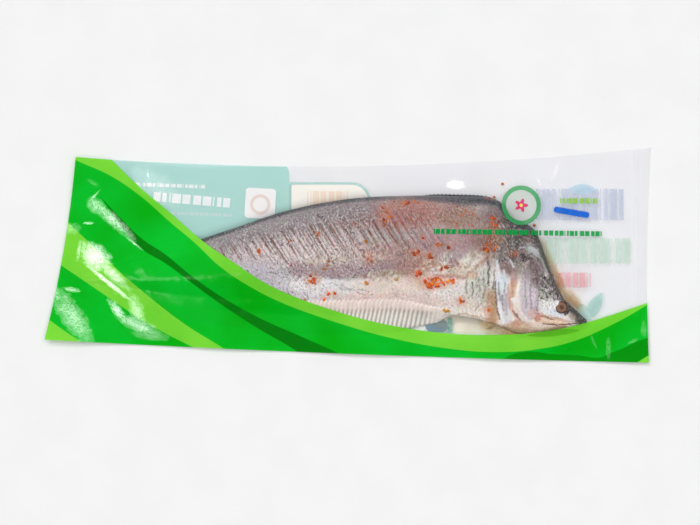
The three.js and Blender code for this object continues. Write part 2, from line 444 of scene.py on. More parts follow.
    def bump(self, height: Socket, distance: float, strength: float = 1.0) -> Socket:
        """A normal from a height that is worth a number of millimetres."""
        values = {"Strength": strength, "Distance": distance * MM, "Height": height}
        return self.filled("Bump", **values).outputs[0]

    def shader(self, kind: str, **inputs: object) -> Socket:
        """A shader with its named inputs."""
        return self.filled(kind, **inputs).outputs[0]

    def mix_shaders(self, share: object, first: Socket, second: Socket) -> Socket:
        """Mixes two shaders."""
        return self.add("MixShader", share, first, second).outputs[0]

    def finish(self, surface: Socket) -> Material:
        """Connects the surface to the output and hands the material over."""
        self.add("OutputMaterial", surface)
        return self.material


# --- forms of things


@dataclass(frozen=True)
class Oval:
    """A named oval place on the pack, which spots, bumps, folds and pools are made from."""

    name: str
    centre: Point
    half: Point

    def outward(self, along: Array, across: Array) -> Array:
        """How far out places in the oval's own axes lie: 1 on its outline."""
        return np.hypot(along / self.half[0], across / self.half[1])


@dataclass(frozen=True)
class PouchOutline:
    """The pouch's outline, its heat seal and the height of its rim."""

    belly_tail: Point = (-252.5, -70.5)
    belly_head: Point = (250.5, -89.6)
    back_tail: Point = (-226.5, 81.5)
    back_head: Point = (252.5, 89.6)
    bow_belly: float = 2.2
    bow_back: float = -11.5
    bow_tail: float = -3.0
    bow_head: float = -2.5
    seal_width: float = 7.0
    seal_thickness: float = 0.5
    pair_thickness: float = 0.6
    rim_mean: float = 2.2
    rim_wave: float = 1.3
    rim_wave_length: float = 118.0
    rim_wave_shift: float = 2.1
    corner_lift: float = 3.5
    corner_along: float = 0.12
    corner_across: float = 0.3

    @property
    def length(self) -> float:
        """Length along x."""
        return self.back_head[0] - self.belly_tail[0]

    @property
    def width(self) -> float:
        """Width along y."""
        return self.back_head[1] - self.belly_head[1]

    def place(self, s: Array, t: Array) -> tuple[Array, Array]:
        """Points of the pouch.

        Args:
            s: Shares along it, 0 at the tail end.
            t: Shares across it, 0 on the belly side.

        Returns:
            Their x and y.
        """
        corners = zip(self.belly_tail, self.belly_head, self.back_tail, self.back_head)
        x, y = ((1 - t) * (a + (b - a) * s) + t * (c + (d - c) * s) for a, b, c, d in corners)
        arch_s = 4 * s * (1 - s)
        arch_t = 4 * t * (1 - t)
        x = x - (1 - s) * self.bow_tail * arch_t + s * self.bow_head * arch_t
        y = y - (1 - t) * self.bow_belly * arch_s + t * self.bow_back * arch_s
        return x, y

    def rim_height(self, s: Array, t: Array) -> Array:
        """Height of the middle of the rim over the table.

        Args:
            s: Shares along the pouch.
            t: Shares across it.

        Returns:
            The heights.
        """
        wave = np.sin(math.tau * s * self.length / self.rim_wave_length + self.rim_wave_shift * t)
        curl = 1 - ease(0, self.corner_along, s)
        curl = curl * (1 - ease(0, self.corner_across, np.minimum(t, 1 - t)))
        return self.rim_mean + self.rim_wave * wave + self.corner_lift * curl

    def from_edge(self, s: Array, t: Array) -> Array:
        """Distance to the nearest edge."""
        return np.minimum(np.minimum(s, 1 - s) * self.length, np.minimum(t, 1 - t) * self.width)


@dataclass(frozen=True)
class Station:
    """One section of the fish: its ends on back and belly, its thickness and the anal fin's reach."""

    name: str
    back: Point
    belly: Point
    thickness: float
    fin: float


@dataclass(frozen=True)
class Relief(Oval):
    """A raised or sunk place on the fish's flank, round or with a flat top."""

    tilt: float
    height: float
    plate: bool = False

    def rise(self, x: Array, y: Array) -> Array:
        """Height that it adds.

        Args:
            x: Places along x.
            y: Places along y.

        Returns:
            The heights.
        """
        reach = self.outward(*turned(x, y, self.centre, self.tilt))
        if self.plate:
            return self.height * (1 - ease(0.8, 1.08, reach))
        return self.height * np.maximum(0, 1 - reach * reach)


STATIONS = (
    Station("tail tip", (-220, -19), (-220, -22), 2.5, 1),
    Station("tail root", (-190, -8), (-190, -26), 6, 9),
    Station("tail", (-150, 4), (-150, -33), 11, 15),
    Station("rear flank", (-100, 20.5), (-100, -38.5), 16.5, 19.5),
    Station("vent flank", (-50, 37), (-50, -41), 21, 22.5),
    Station("mid flank", (0, 46.5), (0, -41), 25, 24.5),
    Station("stuffed belly", (50, 49.3), (40, -40.5), 28, 24),
    Station("shoulder", (90, 48.8), (76, -48.5), 29, 8),
    Station("nape", (122, 46.5), (100, -52), 28, 0),
    Station("gill opening", (140, 30.5), (120, -57), 26, 0),
    Station("gill cover", (156, 19.5), (137, -64), 24, 0),
    Station("cheek", (166.5, -7.5), (157, -66.5), 20, 0),
    Station("eye", (177.5, -33), (176, -64), 15, 0),
    Station("snout", (190.5, -46.5), (191, -60), 9, 0),
    Station("snout tip", (199, -54.5), (199, -56), 4, 0),
)

RELIEFS = (
    Relief("cheek plate", (148, -29.5), (9.5, 30), -4, 1.6, True),
    Relief("gill cover", (129.5, -32), (7.5, 27), 3, 1.8, True),
    Relief("gill slit", (117.5, -20), (2.6, 27), 4, -1.8),
    Relief("skull ridge", (157, 0), (4, 17), 25, 1.2),
    Relief("eye", (177.5, -41.5), (5.6, 5.6), 0, 2.2),
    Relief("mouth", (177, -54.5), (15, 1.8), -12, -1.6),
    Relief("jaw", (163, -58.5), (15, 4.5), -6, 1.2),
)


@dataclass(frozen=True)
class FishForm:
    """The whole fish's form, lofted between the line of its back and the line of its belly."""

    stations: tuple[Station, ...] = STATIONS
    reliefs: tuple[Relief, ...] = RELIEFS
    midplane: float = 0.3
    upper_share: float = 0.7
    lower_share: float = 0.375
    lean: float = 1.25
    fullness: float = 2.6
    keel: float = 0.55
    keel_reach: float = 0.45

    def back(self, u: Array) -> Array:
        """Points of the back's line at shares of the fish's length."""
        return spline_through([station.back for station in self.stations], u)

    def belly(self, u: Array) -> Array:
        """Points of the belly's line."""
        return spline_through([station.belly for station in self.stations], u)

    def thickness(self, u: Array) -> Array:
        """Thickness of each section."""
        return np.maximum(1.0, spline_through([station.thickness for station in self.stations], u)[:, 0])

    def fin_reach(self, u: Array) -> Array:
        """How far the anal fin reaches below the belly's line."""
        return np.maximum(0.0, spline_through([station.fin for station in self.stations], u)[:, 0])

    def section_share(self, v: Array) -> Array:
        """Share of the full thickness at v, 0 on the belly's line and 1 on the back's."""
        across = np.abs(2 * v**self.lean - 1)
        round_share = np.sqrt(np.maximum(0, 1 - across**self.fullness))
        return round_share * (self.keel + (1 - self.keel) * ease(0, self.keel_reach, v))

    def shares_along(self, pitch: Callable[[Array], Array]) -> Array:
        """Shares of the length for columns whose distance follows a rule.

        Args:
            pitch: Distance between columns at x.

        Returns:
            The shares, from 0 to 1.
        """
        fine = np.linspace(0, 1, 4000)
        back = self.back(fine)
        belly = self.belly(fine)
        steps = np.maximum(*(np.hypot(*np.diff(rail, axis=0).T) for rail in (back, belly)))
        middle = (back[1:, 0] + belly[1:, 0]) / 2
        count = np.concatenate([[0], np.cumsum(steps / pitch(middle))])
        columns = np.linspace(0, count[-1], int(round(count[-1])))
        return np.interp(columns, count, fine)


# --- the fish's skin


@dataclass(frozen=True)
class Patch(Oval):
    """A soft-edged area of one colour on the skin."""

    colour: Colour
    strength: float = 0.9
    tilt: float = 0.0
    soft: float = 0.4
    height: float = 0.0

    def mask(self, x: Array, y: Array) -> Array:
        """How strongly it covers each place."""
        reach = self.outward(*turned(x, y, self.centre, self.tilt))
        return self.strength * (1 - ease(1 - self.soft, 1 + self.soft, reach))


@dataclass(frozen=True)
class Streak:
    """A band or line of one colour along some points, such as a seam, a rim or a crease."""

    name: str
    points: tuple[Point, ...]
    width: float
    colour: Colour
    strength: float = 0.9
    soft: float = 0.4
    height: float = 0.0

    def mask(self, x: Array, y: Array) -> Array:
        """How strongly it covers each place.

        Args:
            x: Places along x.
            y: Places along y.

        Returns:
            The cover, 0 to 1.
        """
        nearest = np.full(np.shape(x), np.inf)
        for (ax, ay), (bx, by) in zip(self.points, self.points[1:]):
            dx = bx - ax
            dy = by - ay
            share = np.clip(((x - ax) * dx + (y - ay) * dy) / (dx * dx + dy * dy), 0, 1)
            nearest = np.minimum(nearest, np.hypot(x - ax - share * dx, y - ay - share * dy))
        half = self.width / 2
        return self.strength * (1 - ease(half * (1 - self.soft), half * (1 + self.soft), nearest))


@dataclass(frozen=True)
class Score:
    """One shallow diagonal cut in the flank, wide at its upper end and running out to nothing."""

    start: Point
    length: float
    width: float
    depth: float
    lean: float
    colour: Colour
    bend: float = 0.05

    def mask(self, x: Array, y: Array) -> Array:
        """How strongly it covers each place.

        Args:
            x: Places along x.
            y: Places along y.

        Returns:
            The cover, 0 to 1.
        """
        down, across = turned(x, y, self.start, self.lean)
        share = down / self.length
        across = across - self.bend * self.length * share * share
        half = self.width * (0.4 + 0.6 * np.clip(1 - share, 0, 1) ** 0.7) / 2
        inside = ease(-0.06, 0.1, share) * (1 - ease(0.85, 1.05, share))
        return inside * (1 - ease(0.4, 1.4, np.abs(across) / np.maximum(half, 0.3)))


CUT_BROWN = (112, 60, 44)
CUT_RED = (142, 48, 34)
CUT_GREY = (70, 54, 58)


@dataclass(frozen=True)
class FlankScores:
    """The row of diagonal cuts along the upper flank, with finer ones between them."""

    first: float = -106.0
    last: float = 60.0
    pitch: float = 8.2
    lean: float = -61.0
    shortest: float = 15.0
    longest: float = 37.0
    below_back: float = 11.0
    seed: int = 11

    def cuts(self, form: FishForm) -> list[Score]:
        """The cuts, placed below the line of the back.

        Args:
            form: The fish.

        Returns:
            One entry for each cut.
        """
        rng = np.random.default_rng(self.seed)
        back = form.back(np.linspace(0, 1, 400))
        found: list[Score] = []
        for middle in np.arange(self.first, self.last, self.pitch):
            redder = ease(-20, 50, middle)
            brown = tuple(np.asarray(CUT_BROWN) * (1 - redder) + np.asarray(CUT_RED) * redder)
            for share, width, colour in ((0.0, 2.2, brown), (0.34, 1.1, CUT_GREY), (0.68, 1.0, CUT_GREY)):
                x = middle + self.pitch * share + rng.uniform(-0.8, 0.8)
                along = ease(self.first, self.first + 60, x)
                y = np.interp(x, back[:, 0], back[:, 1]) - self.below_back - 3 * along - rng.uniform(-2, 3)
                length = (self.shortest + (self.longest - self.shortest) * along) * rng.uniform(0.75, 1.05)
                strength = rng.uniform(0.75, 1.0) * (1 - 0.6 * ease(20, self.last, x))
                lean = self.lean + rng.uniform(-2, 2)
                width *= rng.uniform(0.6, 1.2)
                found.append(Score((x, float(y)), float(length), width, float(strength), lean, colour))
        return found


MUSCLE = (180, 166, 163)
BELLY_LEFT = (200, 196, 201)
BELLY_RIGHT = (250, 238, 230)
DARK_SPECK = (84, 72, 74)
PALE_SPECK = (238, 232, 232)
MARKS = (
    Patch("pale lower flank", (-38, 4), (58, 13), (238, 222, 218), 0.8, 0, 0.6),
    Patch("lilac tail belly", (-72, -14), (32, 9), (192, 188, 198), 0.6, -12, 0.6),
    Patch("chili-stained back", (50, 35), (34, 13), (172, 113, 101), 0.85, 0, 0.5),
    Patch("tan shoulder", (90, 32), (16, 11), (158, 120, 102), 0.85, 0, 0.4),
    Patch("mauve shoulder", (88, 12), (30, 9), (176, 134, 136), 0.75, 0, 0.5),
    Streak("side band", ((-44, -11), (-15, -12.8), (18, -12.5), (47, -9)), 11.0, (172, 144, 147), 0.85, 0.5),
    Patch("side band's red end", (51, -10.5), (11, 7.5), (170, 122, 112), 0.75, 0, 0.6),
    Streak("side band's ragged foot", ((-15, -18.6), (6, -21.4), (31, -18.6)), 2.0, (104, 96, 102), 0.5, 0.8),
    Streak("cream scales, tail side", ((-34, -5.8), (-2, -3.3)), 4.5, (208, 194, 176), 0.6, 0.8),
    Patch("cream scales, middle", (31, -16.5), (15, 3.4), (220, 202, 172), 0.7, 0, 0.6),
    Patch("mottled belly's end", (-50, -27), (17, 7), (226, 222, 228), 0.6, -16, 0.8),
    Streak("white belly", ((-42, -24.5), (-7, -27), (31, -25.5), (62, -24)), 12.0, (250, 247, 247), 0.92),
    Streak("pink belly", ((-5, -37.5), (40, -36), (80, -39)), 9.5, (238, 214, 205), 0.85),
    Streak("cream side line", ((18, -5), (28, -3.6), (39, -2.5)), 1.1, (226, 212, 194), 0.8),
    Streak("belly line, first", ((-15, -23.3), (2, -28.3), (15, -29)), 0.9, (152, 148, 154), 0.6),
    Streak("belly line, second", ((-7, -27.5), (12, -31.7)), 0.8, (160, 150, 156), 0.7),
    Patch("pink side line", (38, 1), (36, 8.5), (154, 100, 88), 0.5, 0, 0.7),
    Patch("pink upper flank", (6, 33), (25, 11), (148, 98, 92), 0.4, 0, 0.6),
    Patch("white belly's tail side", (-28, -29), (18, 9), (255, 252, 255), 0.5, -8, 0.7),
    Patch("cream belly", (38, -25), (34, 7), (238, 206, 184), 0.55, 0, 0.6),
    Patch("red crease", (58, -14), (14, 8), (160, 96, 62), 0.28, 0, 0.7),
    Patch("cream scales, shoulder", (68, -7), (9.5, 6.5), (176, 128, 106), 0.9, 0, 0.7),
    Patch("white scales", (71.7, -12.6), (4, 2.2), (232, 235, 232), 0.8),
    Patch("grey scales", (80, -4.4), (6.5, 4.2), (206, 196, 190), 0.8, 0, 0.6),
    Patch("cream shoulder", (92.5, -11.7), (11, 6), (223, 205, 180)),
    Patch("cream shoulder's top", (103.5, -1.7), (10, 5), (218, 212, 198), 0.85, 25),
    Patch("mauve wedge", (86.7, -6.5), (4, 4), (150, 114, 114), 0.85),
    Patch("white flank foot", (88, -30), (16, 8.5), (248, 242, 236), 0.88),
    Patch("cream throat", (102, -43), (20, 9), (246, 232, 216)),
    Patch("pale belly's end", (90, -48.5), (24, 5), (255, 248, 238), 0.85, -9, 0.5),
    Patch("green-white throat", (109, -24), (12, 17), (222, 221, 206)),
    Streak("shoulder crease", ((73, -17.5), (87, -17.5), (97.5, -18.3), (102.5, -13), (116, -1.7)), 2.6,
           (168, 110, 90), 0.6, 0.9, -0.2),
    Patch("peach spot", (104.2, -16.7), (3.4, 3), (238, 196, 160), 0.8),
    Streak("throat fold, first", ((97.5, -20.8), (98.3, -31.7)), 1.3, (140, 140, 132), 0.8),
    Streak("throat fold, second", ((103.3, -22.5), (103.8, -33.3)), 1.2, (84, 86, 82), 0.85, 0.5, -0.3),
    Streak("throat fold, third", ((108.3, -19), (109.2, -31)), 1.2, (150, 152, 142), 0.8),
    Streak("throat fold, fourth", ((106, -14), (106.6, -27)), 1.1, (158, 160, 150), 0.8),
    Streak("throat fold, fifth", ((112, -12), (112.4, -36)), 1.2, (136, 140, 132), 0.75),
    Streak("throat fold, sixth", ((113.8, -24), (111, -38), (106, -46)), 1.3, (176, 160, 140), 0.7),
    Streak("tan line, first", ((90, -50), (97, -48.6), (102, -50.8), (114, -52.6), (120, -54.2)), 1.2,
           (214, 180, 140), 0.85),
    Streak("tan line, second", ((96, -52), (106, -53.6), (117, -56)), 1.1, (220, 190, 152), 0.8),
    Streak("juice beside the gill", ((118, -33), (121, -46), (118.5, -63)), 8.0, (188, 138, 86), 0.8, 0.9),
    Streak("gill line", ((116.3, -4), (116.1, -15), (116.4, -25)), 1.4, (74, 84, 82), 0.9, 0.5, -0.4),
    Streak("gill line's end", ((120.8, -13), (120.4, -28)), 1.3, (104, 110, 106), 0.8),
    Patch("purple nape", (122, 33), (11, 10), (112, 94, 96), 0.7, 0, 0.7),
    Patch("dark nape", (144, 20), (20, 11), (66, 59, 56), 0.92, -41, 0.5),
    Streak("nape's dark edge", ((127, 44), (135, 32), (143, 27.5), (153, 24), (157, 13)), 7.0, (44, 41, 42),
           0.95, 0.5),
    Patch("green-grey nape", (137, 11), (7.5, 6.5), (76, 81, 75), 0.95, 0, 0.6),
    Patch("brown nape", (149.5, 13), (6.5, 4), (114, 90, 78), 0.85, 0, 0.6),
    Streak("nape's red line", ((133, 17), (139, 16), (146, 18)), 1.8, (128, 72, 58), 0.85),
    Patch("orange gill flesh", (118.5, 13), (5, 13), (198, 110, 66), 0.8, -8, 0.7),
    Patch("tan flesh", (127, 11), (3, 5.5), (190, 156, 136), 0.75, -15, 0.6),
    Patch("blue-white nape", (127, 0.5), (6, 6.5), (172, 178, 178), 0.9, 30, 0.6),
    Streak("nape's black fleck", ((125, -4.4), (127, -5.6), (129.4, -4)), 1.7, (44, 44, 48), 0.9),
    Patch("mauve flesh", (131, -11), (6.5, 6), (186, 150, 150), 0.95),
    Patch("grey-white flesh", (141, -8.5), (3.4, 5), (192, 186, 184), 0.85, 0, 0.6),
    Patch("red flesh", (136.6, 0.4), (4.6, 4.4), (160, 78, 54), 0.95, 0, 0.6),
    Patch("dark under the red flesh", (137, -4.6), (5, 2), (70, 56, 54), 0.85, 0, 0.7),
    Patch("dark flesh", (146.5, -2.4), (5.4, 3.6), (34, 28, 28), 0.97, -20),
    Patch("dark skull side", (160.5, -6), (8, 5), (86, 84, 74), 0.9, -58),
    Patch("blue-white skull", (152.6, 3.6), (8, 4), (216, 224, 226), 0.95, -42, 0.5),
    Streak("skull's grey arc", ((146, 6), (151, 8.4), (156, 5.4)), 1.6, (120, 122, 116), 0.8, 0.7),
    Streak("skull's dark arc", ((148, -0.4), (152, 1), (157, -3.4)), 1.4, (92, 92, 88), 0.8, 0.7),
    Streak("dark head edge", ((157, 13), (162, -0.8), (167, -13), (172.8, -27.5), (181.3, -39.5), (194, -52)),
           4.0, (72, 62, 50), 0.97, 0.6),
    Streak("skull seam", ((146, -3.3), (151.7, -4.2), (156.7, -10.8), (165, -23.3), (175, -35), (179, -38.3)),
           3.8, (32, 26, 25), 1.0, 0.4, -0.3),
    Streak("skull's white line", ((157.5, -0.8), (160.8, -5.8), (165.8, -15.8), (169.4, -23)), 2.0,
           (206, 212, 210), 0.9, 0.7),
    Patch("speckled cheek", (164, -31), (10, 8), (188, 187, 174), 0.95, -45),
    Streak("cheek's dark root", ((158.5, -19), (162, -25.5), (168.5, -31.5)), 3.6, (74, 68, 60), 0.85, 0.8),
    Streak("cheek's first line", ((159, -29), (163, -31), (165.5, -35)), 1.5, (84, 82, 72), 0.85, 0.6),
    Streak("cheek's second line", ((159.5, -35.4), (164, -37.6), (171, -39)), 1.6, (84, 80, 70), 0.85, 0.6),
    Streak("cheek's third line", ((165, -29), (169, -33), (171.5, -37)), 1.5, (76, 74, 66), 0.8, 0.6),
    Patch("white cheek", (166.5, -43.5), (11.5, 6.5), (244, 243, 240), 0.97),
    Patch("lower cheek", (172.5, -48), (8, 4.4), (234, 238, 243), 0.97),
    Streak("cheek plate", ((153, -12), (149.9, -25), (149.9, -37.5), (151.5, -46)), 15.6, (218, 206, 210),
           0.98, 0.15),
    Patch("cheek plate's pink end", (154, -48.5), (4.5, 4), (226, 186, 180), 0.8),
    Streak("cheek plate's shade", ((152, -7), (156, -13), (157, -22)), 8.0, (112, 90, 90), 0.85, 0.9),
    Streak("cheek plate's streak", ((146, -22), (146.6, -34), (148, -44)), 1.6, (172, 162, 172), 0.8, 0.8),
    Streak("cheek plate's second streak", ((151, -20), (151, -34), (152, -44)), 1.6, (164, 150, 160), 0.75,
           0.8),
    Streak("cheek plate's edge", ((157.9, -24), (158, -37.5), (155.5, -48.5)), 1.2, (140, 128, 128), 0.75),
    Streak("thin pink flesh", ((138.5, -12), (136.4, -24)), 4.4, (212, 182, 174)),
    Streak("flesh column", ((137.2, -23), (134.8, -36)), 5.0, (214, 168, 140), 0.9, 0.7, -0.2),
    Streak("lower flesh", ((132.5, -39), (140, -50), (141, -57)), 5.0, (230, 188, 164)),
    Streak("plate's rim", ((149, -6), (144, -13), (141.4, -21), (140.2, -29), (140.2, -37), (142.2, -46),
           (148.5, -55)), 2.2, (255, 244, 236), 0.98, 0.3, 0.2),
    Streak("rim's wide foot", ((138.6, -43), (142.5, -50.5), (147, -56)), 4.0, (246, 230, 220)),
    Streak("rim's fold", ((136.8, -46.5), (141.5, -52.5), (146, -56.5)), 1.2, (118, 86, 74), 0.85, 0.4, -0.4),
    Patch("white lump", (137.4, -37.8), (2.6, 2.8), (252, 245, 238), 0.97, 0, 0.3, 0.4),
    Streak("gill strip", ((127.5, -19), (128, -37.5), (129.8, -50), (132.5, -58)), 10.5, (230, 226, 228),
           0.98, 0.3, 0.2),
    Patch("gill strip's top", (127.4, -22.5), (4.8, 5), (226, 233, 238), 0.9),
    Streak("gill strip's first line", ((125, -20), (125, -30), (126, -38)), 1.2, (140, 146, 154), 0.75),
    Streak("gill strip's second line", ((129.4, -19), (129.6, -31)), 1.3, (150, 152, 160), 0.75),
    Streak("gill strip's hollow", ((130.5, -32), (131.5, -50)), 2.6, (196, 182, 188), 0.8),
    Streak("gill strip's rim", ((122, -22), (122.6, -40), (125.5, -54)), 1.3, (112, 82, 62), 0.85),
    Patch("pale chin", (144, -59), (14, 3.6), (222, 190, 162)),
    Patch("orange chin", (140, -57.5), (4.6, 3), (216, 162, 138), 0.85),
    Patch("tan jaw", (168.5, -54.6), (15, 4), (234, 196, 170), 0.95, -9, 0.4),
    Streak("jaw's dark edge", ((157, -49), (163, -51.4), (171, -54)), 1.1, (140, 90, 68), 0.8),
    Patch("pink jaw corner", (158.5, -51.8), (4.2, 2.6), (214, 148, 126), 0.85, 40),
    Streak("lower lip", ((152, -57.5), (164, -60.3), (177, -61)), 2.6, (246, 222, 206)),
    Streak("jaw's gleam", ((160, -52.6), (168, -55), (176, -56)), 1.3, (250, 226, 208), 0.8),
    Streak("mouth", ((162, -57), (173, -58.4), (182.5, -57.7), (190, -57)), 1.1, (104, 62, 48), 0.85, 0.4,
           -0.5),
    Streak("upper lip", ((178.5, -54), (191, -55.8)), 1.7, (242, 228, 218), 0.9, 0.4, 0.3),
    Patch("snout", (187.5, -50.5), (4.2, 4), (176, 166, 148), 0.9),
    Patch("upper head's shade", (136, -3), (27, 14), (84, 70, 62), 0.5, -25, 0.6),
    Patch("gill's brown shade", (117, 15), (14, 16), (112, 66, 42), 0.42, 0, 0.7),
    Streak("brow's dark edge", ((168, -19), (173, -28), (181, -39), (190, -48)), 6.0, (48, 40, 32), 0.85,
           0.6),
    Streak("chin's brown foot", ((118, -59), (128, -61.5), (140, -63.5), (152, -64.5), (166, -63.5),
           (180, -61)), 5.0, (150, 112, 60), 0.7, 0.8),
    Streak("gill strip's white fold", ((124.6, -40), (126.4, -49), (129, -55)), 1.9, (252, 250, 250), 0.9,
           0.6),
    Streak("gill strip's grey fold", ((127.6, -34), (128.8, -46)), 1.7, (150, 146, 152), 0.7, 0.7),
    Streak("gill strip's tan fold", ((132.4, -24), (132.8, -33), (134, -44)), 1.6, (206, 170, 150), 0.8, 0.7),
    Streak("gill's upper white fold", ((123, -5), (124.4, -13), (125, -21)), 2.6, (230, 236, 240), 0.85, 0.7),
    Streak("gill's second white fold", ((129, -13), (129.6, -21)), 1.7, (224, 228, 232), 0.8, 0.7),
    Streak("nape's white fleck", ((134.6, -5), (137, -10)), 1.6, (232, 232, 234), 0.8, 0.7),
    Streak("nape's upper white fleck", ((141, 5), (146.4, 6.4)), 1.5, (222, 226, 228), 0.75, 0.7),
    Patch("snout's tip", (193.4, -52.6), (4.6, 4.6), (64, 56, 44), 0.9),
    Streak("brow", ((174, -36.6), (178, -36.8), (183, -39.6), (185.6, -43)), 2.8, (44, 37, 33), 0.95, 0.4),
    Streak("eye's lower shade", ((184.2, -44.3), (182.8, -47.4), (180, -49)), 2.6, (44, 34, 30), 0.95, 0.4),
)
MARKS_UNDER_SCORES = 5  # so many of the first marks lie under the cuts, the others over them
CHEEK_SCALES = Patch("cheek's scales", (166, -38), (14, 12), DARK_SPECK, 0.55, -45, 0.5)
SCALE_ROWS = (
    Patch("tail scales", (-22, -4), (18, 4.5), CUT_BROWN, 1.0, -6, 0.6),
    Patch("side line scales", (20, 4), (24, 9), CUT_BROWN, 0.7, 0, 0.7),
    Patch("band's foot scales", (24, -17), (26, 4), CUT_BROWN, 1.0, 0, 0.6),
    Patch("shoulder scales", (76, -8), (22, 8), CUT_BROWN, 1.0, 6, 0.5),
    Patch("gill scales", (101, -6), (14, 9), CUT_BROWN, 0.8, 25, 0.5),
    Patch("tail belly scales", (-44, -22), (26, 5), CUT_BROWN, 0.7, -14, 0.6),
)


@dataclass(frozen=True)
class SkinPaint:
    """Colours of the fish's skin, from its flank's zones, its named marks and fine speckle."""

    form: FishForm
    scores: tuple[Score, ...]
    stains: tuple[Patch, ...]
    marks: tuple[Patch | Streak, ...] = MARKS
    ragged: float = 1.3
    frayed: float = 0.9
    head_from: float = 116.0
    ray_pitch: float = 3.6

    def colours(self, x: Array, y: Array, from_back: Array) -> tuple[Array, Array]:
        """Paints the skin.

        Args:
            x: Places along x.
            y: Places along y.
            from_back: Distance of each place from the line of the back.

        Returns:
            Screen colours between 0 and 1, with one more axis than the places, and the grain's shares.
        """
        head = ease(self.head_from, self.head_from + 8, x)
        ragged = self.ragged * (1 - 0.3 * head)
        frayed = self.frayed * (1 - 0.2 * head)
        wx, wy = (
            place + ragged * layered_noise(x, y, 5.0, seed) + frayed * layered_noise(x, y, 1.7, seed + 3, 2)
            for place, seed in ((x, 21), (y, 41))
        )
        side_line = np.interp(x, (-220, -110, -60, -42, 42, 58, 95, 118), (-16, -7, -11, -18, -20, -9, -3, 2))
        belly = ease(-1.5, 1.5, side_line - wy)
        right = ease(-70, 40, x)[..., None]
        pale = (np.asarray(BELLY_LEFT) * (1 - right) + np.asarray(BELLY_RIGHT) * right) / 255
        muscle = np.broadcast_to(np.asarray(MUSCLE) / 255, pale.shape)
        paint = muscle + belly[..., None] * (pale - muscle)
        for mark in self.marks[:MARKS_UNDER_SCORES]:
            paint = painted(paint, mark.mask(wx, wy), mark.colour)
        for score in self.scores:
            paint = painted(paint, score.depth * score.mask(x, y), score.colour)
        for mark in (*self.marks[MARKS_UNDER_SCORES:], *self.stains):
            paint = painted(paint, mark.mask(wx, wy), mark.colour)
        paint = self.tinged(self.edged(self.scaled(paint, x, y), wx, from_back), x, y, head, belly)
        return paint, self.grain(x, y, from_back, head, belly, paint.mean(axis=-1))

    def scaled(self, paint: Array, x: Array, y: Array) -> Array:
        """Dots the rows of loose scales with tan and white.

        Args:
            paint: The colours so far.
            x: Places along x.
            y: Places along y.

        Returns:
            The colours with them.
        """
        zone = np.max([row.mask(x, y) for row in SCALE_ROWS], axis=0)
        for seed, strength, colour in ((85, 0.6, (146, 110, 88)), (89, 0.55, (250, 242, 228))):
            dots = ease(0.1, 0.45, layered_noise(x, y, 1.9, seed, 2))
            paint = painted(paint, strength * zone * dots, colour)
        return paint

    def edged(self, paint: Array, x: Array, from_back: Array) -> Array:
        """Darkens the line of the back, most where the thin dorsal edge lies folded.

        Args:
            paint: The colours so far.
            x: Places along x.
            from_back: Distance from the line of the back.

        Returns:
            The colours with it.
        """
        places = (-220, -60, 20, 45, 70, 110, 130, 199)
        strength = np.interp(x, places, (0.95, 0.95, 0.85, 0.3, 0.7, 0.95, 0.8, 0.75))
        wide = np.interp(x, (40, 75, 95, 130, 160), (1, 1.6, 2.2, 1.8, 1.1))
        line = strength * (1 - ease(1.4 * wide, 4.8 * wide, from_back))
        dusk = 0.75 * ease(2, 5, from_back) * (1 - ease(9, 24, from_back))
        dusk = dusk * (1 - ease(10, 40, x))
        return painted(painted(paint, line, (38, 44, 52)), dusk, (130, 124, 126))

    def tinged(self, paint: Array, x: Array, y: Array, head: Array, belly: Array) -> Array:
        """Adds the faint red rays over the fin's root, and uneven light and tone.

        Args:
            paint: The colours so far.
            x: Places along x.
            y: Places along y.
            head: 1 on the head and 0 on the body.
            belly: 1 on the belly and 0 above it.

        Returns:
            The colours with them.
        """
        rays = np.sin(math.tau * (x + 0.25 * y) / self.ray_pitch)
        rays = ease(-0.2, 1, rays) * ease(-24, -31, y) * (1 - head) * belly
        paint = painted(paint, 0.15 * rays, (204, 150, 140))
        broad = 0.05 * layered_noise(x, y, 8.0, 71, 3)
        violet = layered_noise(x, y, 2.6, 81, 2)[..., None]
        return paint * (1 + broad)[..., None] + 0.025 * violet * np.asarray((1.0, -0.6, 0.9))

    def grain(self, x: Array, y: Array, from_back: Array, head: Array, belly: Array, light: Array) -> Array:
        """How strongly the skin's finish shows specks and hatching, and how much of the specks are pale.

        Args:
            x: Places along x.
            y: Places along y.
            from_back: Distance from the line of the back.
            head: 1 on the head and 0 on the body.
            belly: 1 on the belly and 0 above it.
            light: How light the colours are.

        Returns:
            Three shares for each place.
        """
        flesh = ease(0, 50, x) * (1 - head) * (1 - belly)
        clumps = 0.75 + 0.5 * ease(-0.3, 0.3, layered_noise(x, y, 12.0, 76, 2))
        right = ease(-60, 0, x)
        specks = (0.92 - 0.12 * right - 0.34 * belly * right * (1 - head) - 0.2 * flesh) * clumps
        bare_head = 1 - head * (0.1 + 0.65 * ease(0.5, 0.85, light))
        specks *= (0.7 + 0.3 * ease(4, 12, from_back)) * bare_head
        cheek = CHEEK_SCALES.mask(x, y)
        specks += cheek
        hatch = (1 - head) * (1 - 0.75 * belly) * ease(6, 14, from_back)
        hatch = hatch * (0.6 + 0.4 * ease(40, 90, x))
        pale = 0.7 - 0.2 * flesh - 0.4 * head * ease(0.35, 0.6, light) + 0.5 * cheek
        return np.stack([specks, hatch, pale], axis=-1)


